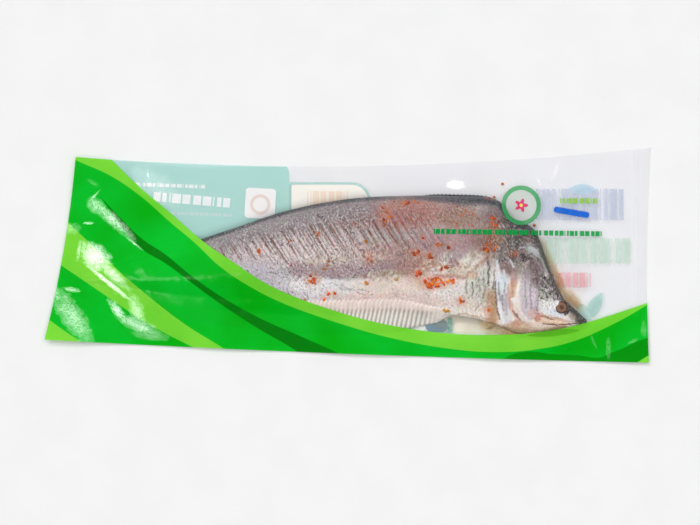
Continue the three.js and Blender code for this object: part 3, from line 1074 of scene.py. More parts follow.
@dataclass(frozen=True)
class SkinSculpt:
    """Fine relief of the skin: cuts, scales, muscle blocks and the plates of the head."""

    scores: tuple[Score, ...]
    marks: tuple[Patch | Streak, ...] = MARKS
    cut_depth: float = 0.5

    def rise(self, x: Array, y: Array) -> Array:
        """Height added at each place.

        Args:
            x: Places along x.
            y: Places along y.

        Returns:
            The heights.
        """
        height = 0.13 * layered_noise(x, y, 2.2, 91, 2) + 0.15 * layered_noise(x, y, 14.0, 95, 2)
        for score in self.scores:
            height -= self.cut_depth * score.depth * score.mask(x, y)
        for mark in self.marks:
            if mark.height:
                height += mark.height * mark.mask(x, y)
        clumps = ease(-22, -14, y) * (1 - ease(-4, 4, y)) * ease(-60, -30, x)
        clumps *= 1 - ease(110, 118, x)
        return height + 0.25 * clumps * layered_noise(x, y, 4.0, 97, 3)


@dataclass(frozen=True)
class SkinFinish:
    """Wet, fine-scaled skin over the colours that the mesh carries."""

    name: str = "wet_fish_skin"
    attribute: str = "skin"
    grain: str = "grain"
    scale_size: float = 1.25
    mottle_size: float = 1.1
    speck_size: float = 1.2
    hatch_pitch: float = 2.4

    def grained(self, pen: NodePen) -> Socket:
        """The mesh's colours under pale specks, dark specks and hatching, all drawn out along the cuts.

        Args:
            pen: The material that it is written into.

        Returns:
            The colour.
        """
        along, across = pen.turned((0, 0), -64)
        colour = pen.attribute(self.attribute)
        share, hatch, pale = pen.parts(self.grain)
        across = pen.plus(across, pen.ramp(pen.noise(9.0), 0.2, 0.8, -2.5, 2.5))
        wave = pen.math("SINE", pen.times(across, math.tau / self.hatch_pitch))
        worn = pen.ramp(pen.noise(3.0, 3.0, 0.6), 0.35, 0.65, 0.0, 0.3)
        lines = pen.times(pen.ramp(wave, 0.0, 1.0), worn)
        colour = pen.mix(pen.times(lines, hatch), colour, linear((98, 80, 80)))
        for level, tint, part in ((0, PALE_SPECK, pale), (40, DARK_SPECK, 0.95)):
            place = pen.joined(pen.math("DIVIDE", along, 2.2), across, pen.plus(pen.z, level))
            speck = pen.ramp(pen.noise(self.speck_size, 3.0, 0.7, place), 0.48, 0.66)
            shown = pen.times(pen.times(speck, share), part)
            colour = pen.mix(shown, colour, linear(tint))
        return colour

    def material(self) -> Material:
        """Writes the material.

        Returns:
            The material.
        """
        pen = NodePen(self.name)
        mottle = pen.noise(self.mottle_size, 3.0, 0.6)
        scales = pen.cells(self.scale_size)
        light = pen.ramp(mottle, 0.3, 0.7, 0.92, 1.08)
        light = pen.plus(light, pen.ramp(scales, 0.1, 0.6, 0.04, -0.05))
        height = pen.plus(pen.times(mottle, 0.6), scales)
        surface = pen.shader(
            "BsdfPrincipled",
            Base_Color=pen.vector("SCALE", self.grained(pen), Scale=light),
            Roughness=pen.ramp(mottle, 0.3, 0.7, 0.42, 0.62),
            Specular_IOR_Level=0.2,
            Normal=pen.bump(height, 0.18, 0.6),
        )
        return pen.finish(surface)


@dataclass
class FishBody:
    """The fish's body and head as one closed mesh."""

    form: FishForm
    scores: tuple[Score, ...]
    material: Material
    rows: int = 128
    under_every: int = 4
    pitch_shown: float = 0.67
    pitch_hidden: float = 1.3
    hidden_until: float = -125.0
    name: str = "fish_body"

    def column_shares(self) -> Array:
        """Shares of the length, closer together where the clear film shows the fish."""
        spread = self.pitch_hidden - self.pitch_shown
        ends = (self.hidden_until - 10, self.hidden_until)
        return self.form.shares_along(lambda x: self.pitch_hidden - spread * ease(*ends, x))

    def row_shares(self) -> Array:
        """Shares across the flank, closer together at its steep edges."""
        even = np.linspace(0, 1, self.rows)
        return 0.75 * even + 0.25 * (1 - np.cos(math.pi * even)) / 2

    def build(self) -> Piece:
        """Builds and paints the body.

        Returns:
            The mesh object.
        """
        u = self.column_shares()
        v = self.row_shares()
        back = self.form.back(u)[:, None, :]
        belly = self.form.belly(u)[:, None, :]
        place = belly + (back - belly) * v[None, :, None]
        x, y = place[..., 0], place[..., 1]
        from_back = np.hypot(*(back - belly)[:, 0].T)[:, None] * (1 - v)[None, :]
        thickness = self.form.thickness(u)[:, None]
        share = self.form.section_share(v)[None, :]
        middle = self.form.midplane * thickness
        relief = sum(relief.rise(x, y) for relief in self.form.reliefs)
        fine = SkinSculpt(self.scores).rise(x, y)
        edge_fade = ease(0, 0.5, share)
        top = middle + self.form.upper_share * thickness * share + relief * share + fine * edge_fade
        bottom = middle - self.form.lower_share * thickness * share + 0.3 * fine * edge_fade
        bottom = np.maximum(UNDERSIDE, bottom)
        stains = tuple(scatter.stain() for scatter in SCATTERS if scatter.stains)
        paint, grain = SkinPaint(self.form, self.scores, stains).colours(x, y, from_back)
        return self.closed_mesh(x, y, top, bottom, paint, grain)

    def closed_mesh(self, x: Array, y: Array, top: Array, bottom: Array, paint: Array, grain: Array) -> Piece:
        """Joins the upper and lower side along back and belly, and to one point at each end.

        Args:
            x: Grid of places along x, by column and row.
            y: The same along y.
            top: Heights of the upper side.
            bottom: Heights of the lower side.
            paint: Colours at the grid's points.
            grain: The grain's shares there.

        Returns:
            The mesh object.
        """
        inner = slice(1, -1)
        shown_rows = np.arange(0, self.rows, self.under_every)
        hidden_rows = shown_rows[1:-1]
        ends = [np.array([[x[i].mean(), y[i].mean(), top[i].mean()]]) for i in (0, -1)]
        upper = np.stack([x[inner], y[inner], top[inner]], axis=-1)
        lower = np.stack([grid[inner][:, hidden_rows] for grid in (x, y, bottom)], axis=-1)
        columns = upper.shape[0]
        upper_ids = 1 + np.arange(columns * self.rows).reshape(columns, self.rows)
        first_lower = 1 + columns * self.rows
        lower_ids = first_lower + np.arange(columns * len(hidden_rows)).reshape(columns, -1)
        lower_ids = np.concatenate([upper_ids[:, :1], lower_ids, upper_ids[:, -1:]], axis=1)
        last = first_lower + columns * len(hidden_rows)
        faces = grid_faces(upper_ids) + grid_faces(lower_ids, flip=True)
        for ids, flip in ((upper_ids, False), (lower_ids, True)):
            for a, b in zip(ids[0], ids[0][1:]):
                faces.append([0, b, a] if flip else [0, a, b])
            for a, b in zip(ids[-1], ids[-1][1:]):
                faces.append([last, a, b] if flip else [last, b, a])
        points = np.concatenate([ends[0], upper.reshape(-1, 3), lower.reshape(-1, 3), ends[1]])
        body = new_piece(self.name, points, faces, self.material)
        for name, values in ((SkinFinish.attribute, paint), (SkinFinish.grain, grain)):
            rows = [values[:1, 0], values[inner].reshape(-1, 3), values[inner][:, hidden_rows].reshape(-1, 3)]
            paint_points(body, name, np.concatenate([*rows, values[-1:, 0]]), screen=values is paint)
        return body


@dataclass
class AnalFin:
    """The long anal fin under belly and tail: bony rays with thin skin between them."""

    form: FishForm
    material: Material
    ray_pitch: float = 3.6
    steps_per_ray: int = 6
    rows: int = 12
    first_x: float = -214.0
    last_x: float = 88.0
    slant: float = 0.27
    tuck: float = 5.0
    apron: float = 7.0
    root_half: float = 1.3
    edge_half: float = 0.45
    name: str = "anal_fin"

    def build(self) -> Piece:
        """Builds and paints the fin.

        Returns:
            The mesh object.
        """
        fine = np.linspace(0, 1, RAIL_POINTS)
        rail = self.form.belly(fine)
        count = int((self.last_x - self.first_x) / self.ray_pitch * self.steps_per_ray)
        x0 = np.linspace(self.first_x, self.last_x, count + 1)
        u = np.interp(x0, rail[:, 0], fine)
        y0 = np.interp(x0, rail[:, 0], rail[:, 1])
        w = np.linspace(0, 1, self.rows)[None, :]
        phase = (np.arange(count + 1) / self.steps_per_ray) % 1
        ray = ((1 - np.cos(math.tau * phase)) / 2)[:, None]
        fade = ease(0, 12, self.last_x - x0) * ease(0, 10, x0 - self.first_x)
        reach = (self.form.fin_reach(u) * fade)[:, None] * (0.97 + 0.03 * ray)
        x = x0[:, None] - self.slant * reach * w
        y = y0[:, None] + self.tuck * (1 - w) - reach * w
        middle = (self.form.midplane * self.form.thickness(u))[:, None]
        centre = (0.8 * middle + 0.6) * (1 - w) + 1.5 * w
        half = (self.root_half + (self.edge_half - self.root_half) * w) * (0.35 + 0.65 * ray)
        closing = np.where((w == 0) | (w == 1), 0.1, 1.0)
        outward = reach * w - self.tuck * (1 - w)
        near_edge = self.form.section_share(np.full(len(u), 0.055))
        belly_top = self.form.upper_share * self.form.thickness(u) * near_edge
        bridge = np.clip((self.apron - outward) / (self.apron + self.tuck), 0, 1) ** 1.4
        lift = np.maximum(0.0, (middle + belly_top[:, None] - 0.5 - centre) * bridge)
        z = np.stack([centre + lift + half * closing, np.maximum(UNDERSIDE, centre - half * closing)])
        ids = np.arange(2 * x.size).reshape(2, *x.shape)
        faces = grid_faces(ids[0]) + grid_faces(ids[1], flip=True)
        rims = (ids[:, :, 0], ids[:, -1, 1:], ids[:, ::-1, -1][:, 1:], ids[:, 0, ::-1][:, 1:])
        faces += grid_faces(np.concatenate(rims, axis=1)[::-1].T)
        points = np.concatenate([np.stack([x, y, level], axis=-1).reshape(-1, 3) for level in z])
        fin = new_piece(self.name, points, [face[::-1] for face in faces], self.material)
        paint = self.colours(x, y, w, ray)
        paint_points(fin, SkinFinish.attribute, np.concatenate([paint, paint]))
        return fin

    def colours(self, x: Array, y: Array, w: Array, ray: Array) -> Array:
        """Ivory rays, grey skin between them and pink roots.

        Args:
            x: Places along x.
            y: Places along y.
            w: Shares from root to free edge.
            ray: 1 on a ray and 0 between two.

        Returns:
            Screen colours, one row for each point.
        """
        bony = np.maximum(ease(0.1, 0.5, ray + 0 * w), ease(58, 84, x))
        paint = painted(np.asarray((168, 168, 158)) / 255, bony, (240, 232, 222))
        near_root = ease(0.2, 0.32, w) * (1 - ease(0.32, 0.5, w)) * (1 - ray)
        paint = painted(paint, 0.6 * near_root, (176, 140, 126))
        paint = painted(paint, 1 - ease(0.22, 0.42, w + 0 * ray), (246, 228, 219))
        paint = painted(paint, 0.8 * ease(58, 80, x), (255, 242, 234))
        return (paint * (1 + 0.06 * layered_noise(x, y, 3.0, 131))[..., None]).reshape(-1, 3)


@dataclass
class DorsalFin:
    """The small soft dorsal fin, folded flat along the back; its near-black paint, past the back's line, is
    also painted shadow along the back.
    """

    form: FishForm
    material: Material
    first_x: float = 66.0
    last_x: float = 128.0
    reach: float = 1.5
    columns: int = 60
    rows: int = 6
    rail_share: float = 0.68  # share of the back's line on which x still rises
    name: str = "dorsal_fin_and_shadow"

    def build(self) -> Piece:
        """Builds and paints the fin.

        Returns:
            The mesh object.
        """
        fine = np.linspace(0, 1, RAIL_POINTS)
        rail = self.form.back(fine)[: int(RAIL_POINTS * self.rail_share)]
        x0 = np.linspace(self.first_x, self.last_x, self.columns)
        y0 = np.interp(x0, rail[:, 0], rail[:, 1])
        u = np.interp(x0, rail[:, 0], fine[: len(rail)])
        along = (x0 - self.first_x) / (self.last_x - self.first_x)
        w = np.linspace(0, 1, self.rows)[None, :]
        height = (self.reach * np.sin(math.pi * along**0.8) ** 0.6)[:, None]
        x = x0[:, None] - 2.0 * w
        y = y0[:, None] - 1.5 + (height + 1.5) * w + 0.5 * np.sin(x0 * 1.9)[:, None] * w
        middle = (self.form.midplane * self.form.thickness(u))[:, None]
        centre = middle * (1 - 0.45 * w)
        ends = np.sin(math.pi * np.clip(along, 0.02, 0.98))[:, None]
        half = 0.7 * np.sqrt(np.maximum(0, 1 - (2 * w - 1) ** 2)) * ends
        ids = np.arange(2 * x.size).reshape(2, *x.shape)
        faces = grid_faces(ids[0]) + grid_faces(ids[1], flip=True)
        sides = [np.stack([x, y, centre + way * (half + 0.05)], axis=-1) for way in (1, -1)]
        points = np.concatenate(sides).reshape(-1, 3)
        fin = new_piece(self.name, points, faces, self.material)
        # Near-black paint: the fin's own dark colour, and painted shadow where it lies past the back's line.
        dark = np.asarray((44, 47, 51)) / 255
        paint = dark * (1 + 0.3 * layered_noise(x * 2.5, y, 3.0, 141))[..., None]
        paint_points(fin, SkinFinish.attribute, np.tile(np.clip(paint, 0, 1).reshape(-1, 3), (2, 1)))
        return fin


@dataclass(frozen=True)
class EyeFinish:
    """Dull brown iris, darker in the middle, with a dark rim."""

    centre: Point
    radius: float
    name: str = "fish_eye"

    def material(self) -> Material:
        """Writes the material.

        Returns:
            The material.
        """
        pen = NodePen(self.name)
        reach = pen.hypot(pen.minus(pen.x, self.centre[0]), pen.minus(pen.y, self.centre[1]))
        share = pen.math("DIVIDE", reach, self.radius)
        share = pen.plus(share, pen.ramp(pen.noise(1.5, 3.0), 0.2, 0.8, -0.12, 0.12))
        iris = pen.mix(pen.ramp(share, 0.25, 0.5), linear((96, 64, 50)), linear((140, 102, 82)))
        rim = pen.mix(pen.ramp(share, 0.7, 0.95), iris, linear((40, 34, 32)))
        surface = pen.shader(
            "BsdfPrincipled",
            Base_Color=rim,
            Roughness=pen.ramp(pen.noise(0.8), 0.3, 0.7, 0.25, 0.4),
            Specular_IOR_Level=0.15,
        )
        return pen.finish(surface)


@dataclass
class FishEye:
    """The eye: a low dome in its socket."""

    centre: Point = (177.0, -43.4)
    radius: float = 5.2
    height: float = 2.0
    rings: int = 10
    segments: int = 28
    sink: float = 0.8
    name: str = "fish_eye"

    def build(self, skin: BVHTree) -> Piece:
        """Builds the eye on the skin.

        Args:
            skin: Tree of the body.

        Returns:
            The mesh object.
        """
        x, y = self.centre
        base = height_under_ray(skin, x, y, DOWN) - self.sink
        points = [(x, y, base + self.height)]
        for ring in range(1, self.rings + 1):
            angle = math.pi / 2 * ring / self.rings
            for segment in range(self.segments):
                turn = math.tau * segment / self.segments
                reach = self.radius * math.sin(angle)
                level = base + self.height * math.cos(angle)
                points.append((x + reach * math.cos(turn), y + reach * math.sin(turn), level))
        points.append((x, y, base - 1))
        ids = 1 + np.arange(self.rings * self.segments).reshape(self.rings, self.segments)
        closed = np.concatenate([ids, ids[:, :1]], axis=1)
        faces = grid_faces(closed)
        faces += [[0, a, b] for a, b in zip(closed[0], closed[0][1:])]
        faces += [[len(points) - 1, b, a] for a, b in zip(closed[-1], closed[-1][1:])]
        return new_piece(self.name, np.asarray(points), faces, EyeFinish(self.centre, self.radius).material())


# --- chili and marinade


class Topping(Enum):
    """What lies on the fish."""

    FLAKE = "chili_flakes"
    SEED = "chili_seeds"


FLAKE, SEED = Topping
UPPER_FLANK = -14  # flakes above this y lie on the dark upper flank
SOAKED = 0.84  # how light they still are there, soaked through
SMALLEST_OILY = 1.7  # smallest flakes that leave oil


@dataclass(frozen=True)
class Scatter(Oval):
    """Some flakes or seeds, spread at random inside an oval."""

    count: int
    smallest: float
    largest: float
    kind: Topping = FLAKE

    @property
    def stains(self) -> bool:
        """True where the flakes are large enough to leave oil."""
        return self.kind is FLAKE and self.smallest > SMALLEST_OILY

    @property
    def lightness(self) -> float:
        """How light its pieces are."""
        return SOAKED if self.centre[1] > UPPER_FLANK else 1.0

    def stain(self) -> Patch:
        """The orange oil round its flakes."""
        half = (self.half[0] + 1.6, self.half[1] + 1.6)
        return Patch(self.name, self.centre, half, (222, 126, 86), 0.36, 0, 0.6)


SCATTERS = tuple(Scatter(*row) for row in (
    ("flank cluster", (-29, -20.5), (5, 3.6), 9, 2.0, 3.8),
    ("white belly pair", (-14, -32), (3.4, 1.6), 3, 2.4, 3.6),
    ("belly's orange one", (-20, -37), (1.4, 0.8), 2, 2.2, 3.4),
    ("belly edge", (-37.5, -37.6), (3, 0.8), 3, 1.6, 2.6),
    ("tail flake", (-73.3, 3.3), (0.8, 1.2), 2, 2.8, 4.0),
    ("upper flank, first", (-47, 11.7), (1.5, 1.5), 2, 1.6, 2.4),
    ("upper flank, second", (-25, 17.5), (1.2, 1.2), 2, 2.0, 3.0),
    ("upper flank, third", (5, 24), (1.2, 3), 2, 1.4, 2.2),
    ("band, tail side", (-45, -8), (3, 2), 3, 1.4, 2.6),
    ("band, middle", (-15, -10), (5, 5), 5, 1.6, 3.0),
    ("band, above", (17.5, -3), (3, 4), 3, 2.0, 3.2),
    ("band, far", (-65, -11), (4, 2), 2, 0.9, 1.5),
    ("back, left", (30, 33), (4, 7), 5, 2.0, 3.6),
    ("back, top", (48, 42), (16, 3), 8, 1.2, 3.0),
    ("back, specks", (48, 33), (30, 12), 26, 0.6, 1.5),
    ("shoulder, specks", (94, 31), (20, 13), 22, 0.7, 1.8),
    ("shoulder, first", (61.7, 15), (1, 1), 1, 2.4, 3.0),
    ("shoulder, second", (74.5, 8), (1.6, 1.2), 3, 2.6, 4.4),
    ("shoulder, third", (83.3, 5.4), (1, 1), 2, 2.6, 3.8),
    ("shoulder, fourth", (56, 1.5), (4.5, 2.4), 7, 2.0, 3.4),
    ("shoulder, fifth", (67.5, -0.8), (1.6, 1.8), 3, 2.6, 4.2),
    ("crease cluster, left", (57.5, -16), (2.6, 3), 6, 2.4, 4.2),
    ("crease cluster", (74, -22), (14, 3.6), 26, 1.8, 3.8),
    ("crease cluster's middle", (69, -25), (8, 2.8), 12, 2.2, 4.2),
    ("white scale flakes", (79.5, -11), (3, 1.8), 5, 2.6, 4.4),
    ("throat flake", (94, -38), (2.6, 1.6), 4, 2.6, 3.8),
    ("gill foot", (116, -45.4), (2.2, 1.5), 4, 2.0, 3.2),
    ("gill cluster", (119.5, 7), (6, 7), 9, 1.6, 3.2),
    ("gill's upper flakes", (121.5, 26), (3, 6), 4, 1.6, 3.2),
    ("gill cluster's left", (113, 4.4), (4, 1.4), 4, 2.4, 3.6),
    ("nape, left", (104, 35), (5, 7), 5, 1.0, 2.4),
    ("nape, right", (121, 29), (5, 6), 5, 1.2, 3.0),
    ("back edge", (118.8, 48), (5, 1.6), 6, 1.8, 3.2),
    ("on the bare film", (128.8, 59.2), (0.5, 0.5), 1, 2.6, 2.9),
    ("forehead", (155, 25), (1.6, 1), 2, 1.6, 2.6),
    ("nape flesh", (137.5, 1), (3, 2), 4, 1.2, 2.4),
    ("lower belly specks", (24, -34), (26, 4), 9, 0.6, 1.5),
    ("flank dust", (-15, 8), (85, 20), 60, 0.4, 1.1),
    ("seeds, flank", (15, 10.8), (1.2, 1.2), 2, 2.4, 3.2, SEED),
    ("seeds, band", (15.5, -22.8), (1.6, 1.2), 2, 2.4, 3.4, SEED),
    ("seeds, belly", (40, -20), (1.2, 1), 2, 2.2, 3.0, SEED),
    ("seeds, fin root", (81, -46), (4, 1), 4, 2.2, 3.6, SEED),
    ("seeds, shoulder", (60, 8), (38, 22), 6, 1.2, 2.0, SEED),
))


@dataclass(frozen=True)
class ToppingFinish:
    """Wet dried chili or its seeds, each in the tint that the mesh carries."""

    kind: Topping

    def material(self) -> Material:
        """Writes the material.

        Returns:
            The material.
        """
        pen = NodePen(self.kind.value)
        veins = pen.noise(0.5, 3.0, 0.6)
        tint = pen.attribute("tint")
        surface = pen.shader(
            "BsdfPrincipled",
            Base_Color=pen.vector("SCALE", tint, Scale=pen.ramp(veins, 0.3, 0.7, 0.75, 1.2)),
            Roughness=pen.ramp(veins, 0.3, 0.7, 0.25, 0.5),
            Specular_IOR_Level=0.2,
            Normal=pen.bump(veins, 0.15),
        )
        return pen.finish(surface)


@dataclass
class ToppingLayer:
    """All flakes, or all seeds, as one joined mesh."""

    kind: Topping
    scatters: tuple[Scatter, ...] = SCATTERS
    seed: int = 5
    loose_height: float = 1.6

    def tints(self) -> tuple[Colour, ...]:
        """Colours that the pieces are drawn from.

        Returns:
            The colours.
        """
        if self.kind is SEED:
            return ((232, 168, 74), (238, 180, 100), (222, 140, 58))
        light = ((242, 108, 30), (230, 92, 22), (248, 142, 46))
        return (*light, (208, 76, 24), (178, 76, 38), (240, 122, 32))

    def outline(self, size: float, rng: np.random.Generator) -> Array:
        """Corners of one piece, lying flat round the origin.

        Args:
            size: Its mean width.
            rng: Source of its irregularity.

        Returns:
            Corner points, anticlockwise.
        """
        corners, rough, narrowest = 12, 0.06, 0.85
        if self.kind is FLAKE:
            corners, rough, narrowest = int(rng.integers(5, 9)), 0.3, 0.5
        stretch = rng.uniform(narrowest, 1.0)
        angles = np.linspace(0, math.tau, corners, endpoint=False)
        radii = size / 2 * (1 + rough * rng.uniform(-1, 1, corners))
        turn = rng.uniform(0, math.pi)
        flat = np.stack([radii * np.cos(angles), stretch * radii * np.sin(angles)], axis=1)
        spin = np.array([[math.cos(turn), -math.sin(turn)], [math.sin(turn), math.cos(turn)]])
        return flat @ spin.T

    def build(self, ground: BVHTree) -> Piece:
        """Scatters the pieces over the fish.

        Args:
            ground: Tree of what they lie on.

        Returns:
            The mesh object.
        """
        rng = np.random.default_rng(self.seed)
        points: list[Array] = []
        faces: list[list[int]] = []
        colours: list[Array] = []
        for scatter in self.scatters:
            for _ in range(scatter.count if scatter.kind is self.kind else 0):
                reach = math.sqrt(rng.random())
                angle = rng.uniform(0, math.tau)
                x = scatter.centre[0] + scatter.half[0] * reach * math.cos(angle)
                y = scatter.centre[1] + scatter.half[1] * reach * math.sin(angle)
                corners = self.outline(rng.uniform(scatter.smallest, scatter.largest), rng)
                start = sum(map(len, points))
                cloud, sides = self.plate(corners, x, y, ground, rng)
                tints = self.tints()
                tint = np.asarray(tints[int(rng.integers(len(tints)))]) / 255
                tint = tint * rng.uniform(0.85, 1.08) * scatter.lightness
                points.append(cloud)
                faces += [[start + corner for corner in side] for side in sides]
                colours.append(np.tile(np.clip(tint, 0, 1), (len(cloud), 1)))
        piece = new_piece(self.kind.value, np.concatenate(points), faces, ToppingFinish(self.kind).material())
        paint_points(piece, "tint", np.concatenate(colours))
        return piece

    def plate(
        self, corners: Array, x: float, y: float, ground: BVHTree, rng: np.random.Generator
    ) -> tuple[Array, list[list[int]]]:
        """One thin domed piece, laid on the ground under it.

        Args:
            corners: Its flat outline.
            x: Where its middle is.
            y: The same along y.
            ground: What it lies on.
            rng: Source of its irregularity.

        Returns:
            Its points and its faces.
        """
        size = float(np.abs(corners).max())
        thickness = 0.22 + 0.16 * size
        rims = []
        for share, lift in ((1.0, 0.05), (0.92, 0.6), (0.5, 1.0)):
            ring = corners * share
            levels = [height_under_ray(ground, x + dx, y + dy, DOWN) or self.loose_height for dx, dy in ring]
            lifts = lift * thickness * (1 + 0.25 * rng.uniform(-1, 1, len(ring)))
            rims.append(np.column_stack([x + ring[:, 0], y + ring[:, 1], np.asarray(levels) + lifts]))
        count = len(corners)
        centre = rims[2].mean(axis=0)
        foot = np.array([x, y, rims[0][:, 2].mean() - 0.3])
        cloud = np.concatenate([*rims, [centre], [foot]])
        faces = []
        for level in (0, 1):
            for i in range(count):
                a = level * count + i
                b = level * count + (i + 1) % count
                faces.append([a, b, b + count, a + count])
        for i in range(count):
            following = (i + 1) % count
            faces.append([2 * count + i, 2 * count + following, 3 * count])
            faces.append([following, i, 3 * count + 1])
        return cloud, faces


@dataclass(frozen=True)
class JuiceFinish:
    """Oily marinade, as a thin stain that thins out towards its rim. Along the head's right edge the same
    stain is also painted shadow.
    """

    name: str = "marinade"

    def material(self) -> Material:
        """Writes the material.

        Returns:
            The material.
        """
        pen = NodePen(self.name)
        cloud = pen.ramp(pen.noise(6.0, 3.0), 0.3, 0.7, 0.55, 1.15)
        cover = pen.math("MULTIPLY", pen.parts("depth")[0], cloud, clamp=True)
        stain = pen.shader("BsdfDiffuse", Color=linear((196, 158, 108)))
        clear = pen.shader("BsdfTransparent", Color=linear((255, 250, 240)))
        return pen.finish(pen.mix_shaders(cover, clear, stain))


@dataclass(frozen=True)
class Puddle(Oval):
    """One pool of marinade between the films; those along the head's right edge are painted shadow in part.
    """

    tilt: float
    strength: float


PUDDLES = (
    Puddle("throat", (117, -54), (9, 12), 10, 0.5),
    Puddle("chin", (141, -64), (27, 6.5), -3, 0.6),
    Puddle("belly foot", (96, -57), (26, 8), -4, 0.05),
    # Forehead, nape and snout: partly marinade stain, partly painted shadow along the head's right edge.
    Puddle("forehead", (173.5, -20), (5.5, 24), 24, 0.6),
    Puddle("nape", (162, 4), (5, 14), 22, 0.3),
    Puddle("snout", (187, -37.5), (6, 12), 38, 0.75),
)


# --- the films


@dataclass(frozen=True)
class Crinkle(Oval):
    """An area where the film is finely crumpled."""

    tilt: float
    size: float
    height: float
    seed: int
    stretch: float = 2.0

    def lift(self, x: Array, y: Array) -> Array:
        """Height that it adds.

        Args:
            x: Places along x.
            y: Places along y.

        Returns:
            The heights.
        """
        along, across = turned(x, y, self.centre, self.tilt)
        reach = self.outward(along, across)
        ridges = 1 - np.abs(layered_noise(along / self.stretch, across, self.size, self.seed, 2))
        return self.height * (1 - ease(0.6, 1.1, reach)) * (ridges**3 - 0.4)


CRINKLES = (
    Crinkle("tail end", (-200, -15), (45, 60), -40, 7.0, 0.5, 201),
    Crinkle("head corner", (190, -72), (40, 14), -10, 6.0, 0.5, 211),
    Crinkle("whole film", (0, 0), (260, 95), 0, 16.0, 0.25, 221),
    Crinkle("upper margin", (60, 66), (160, 14), 0, 9.0, 0.25, 231),
)


@dataclass(frozen=True)
class DrapedFilms:
    """Both films on one grid, by column along the pouch and row across it."""

    x: Array
    y: Array
    front: Array
    back: Array


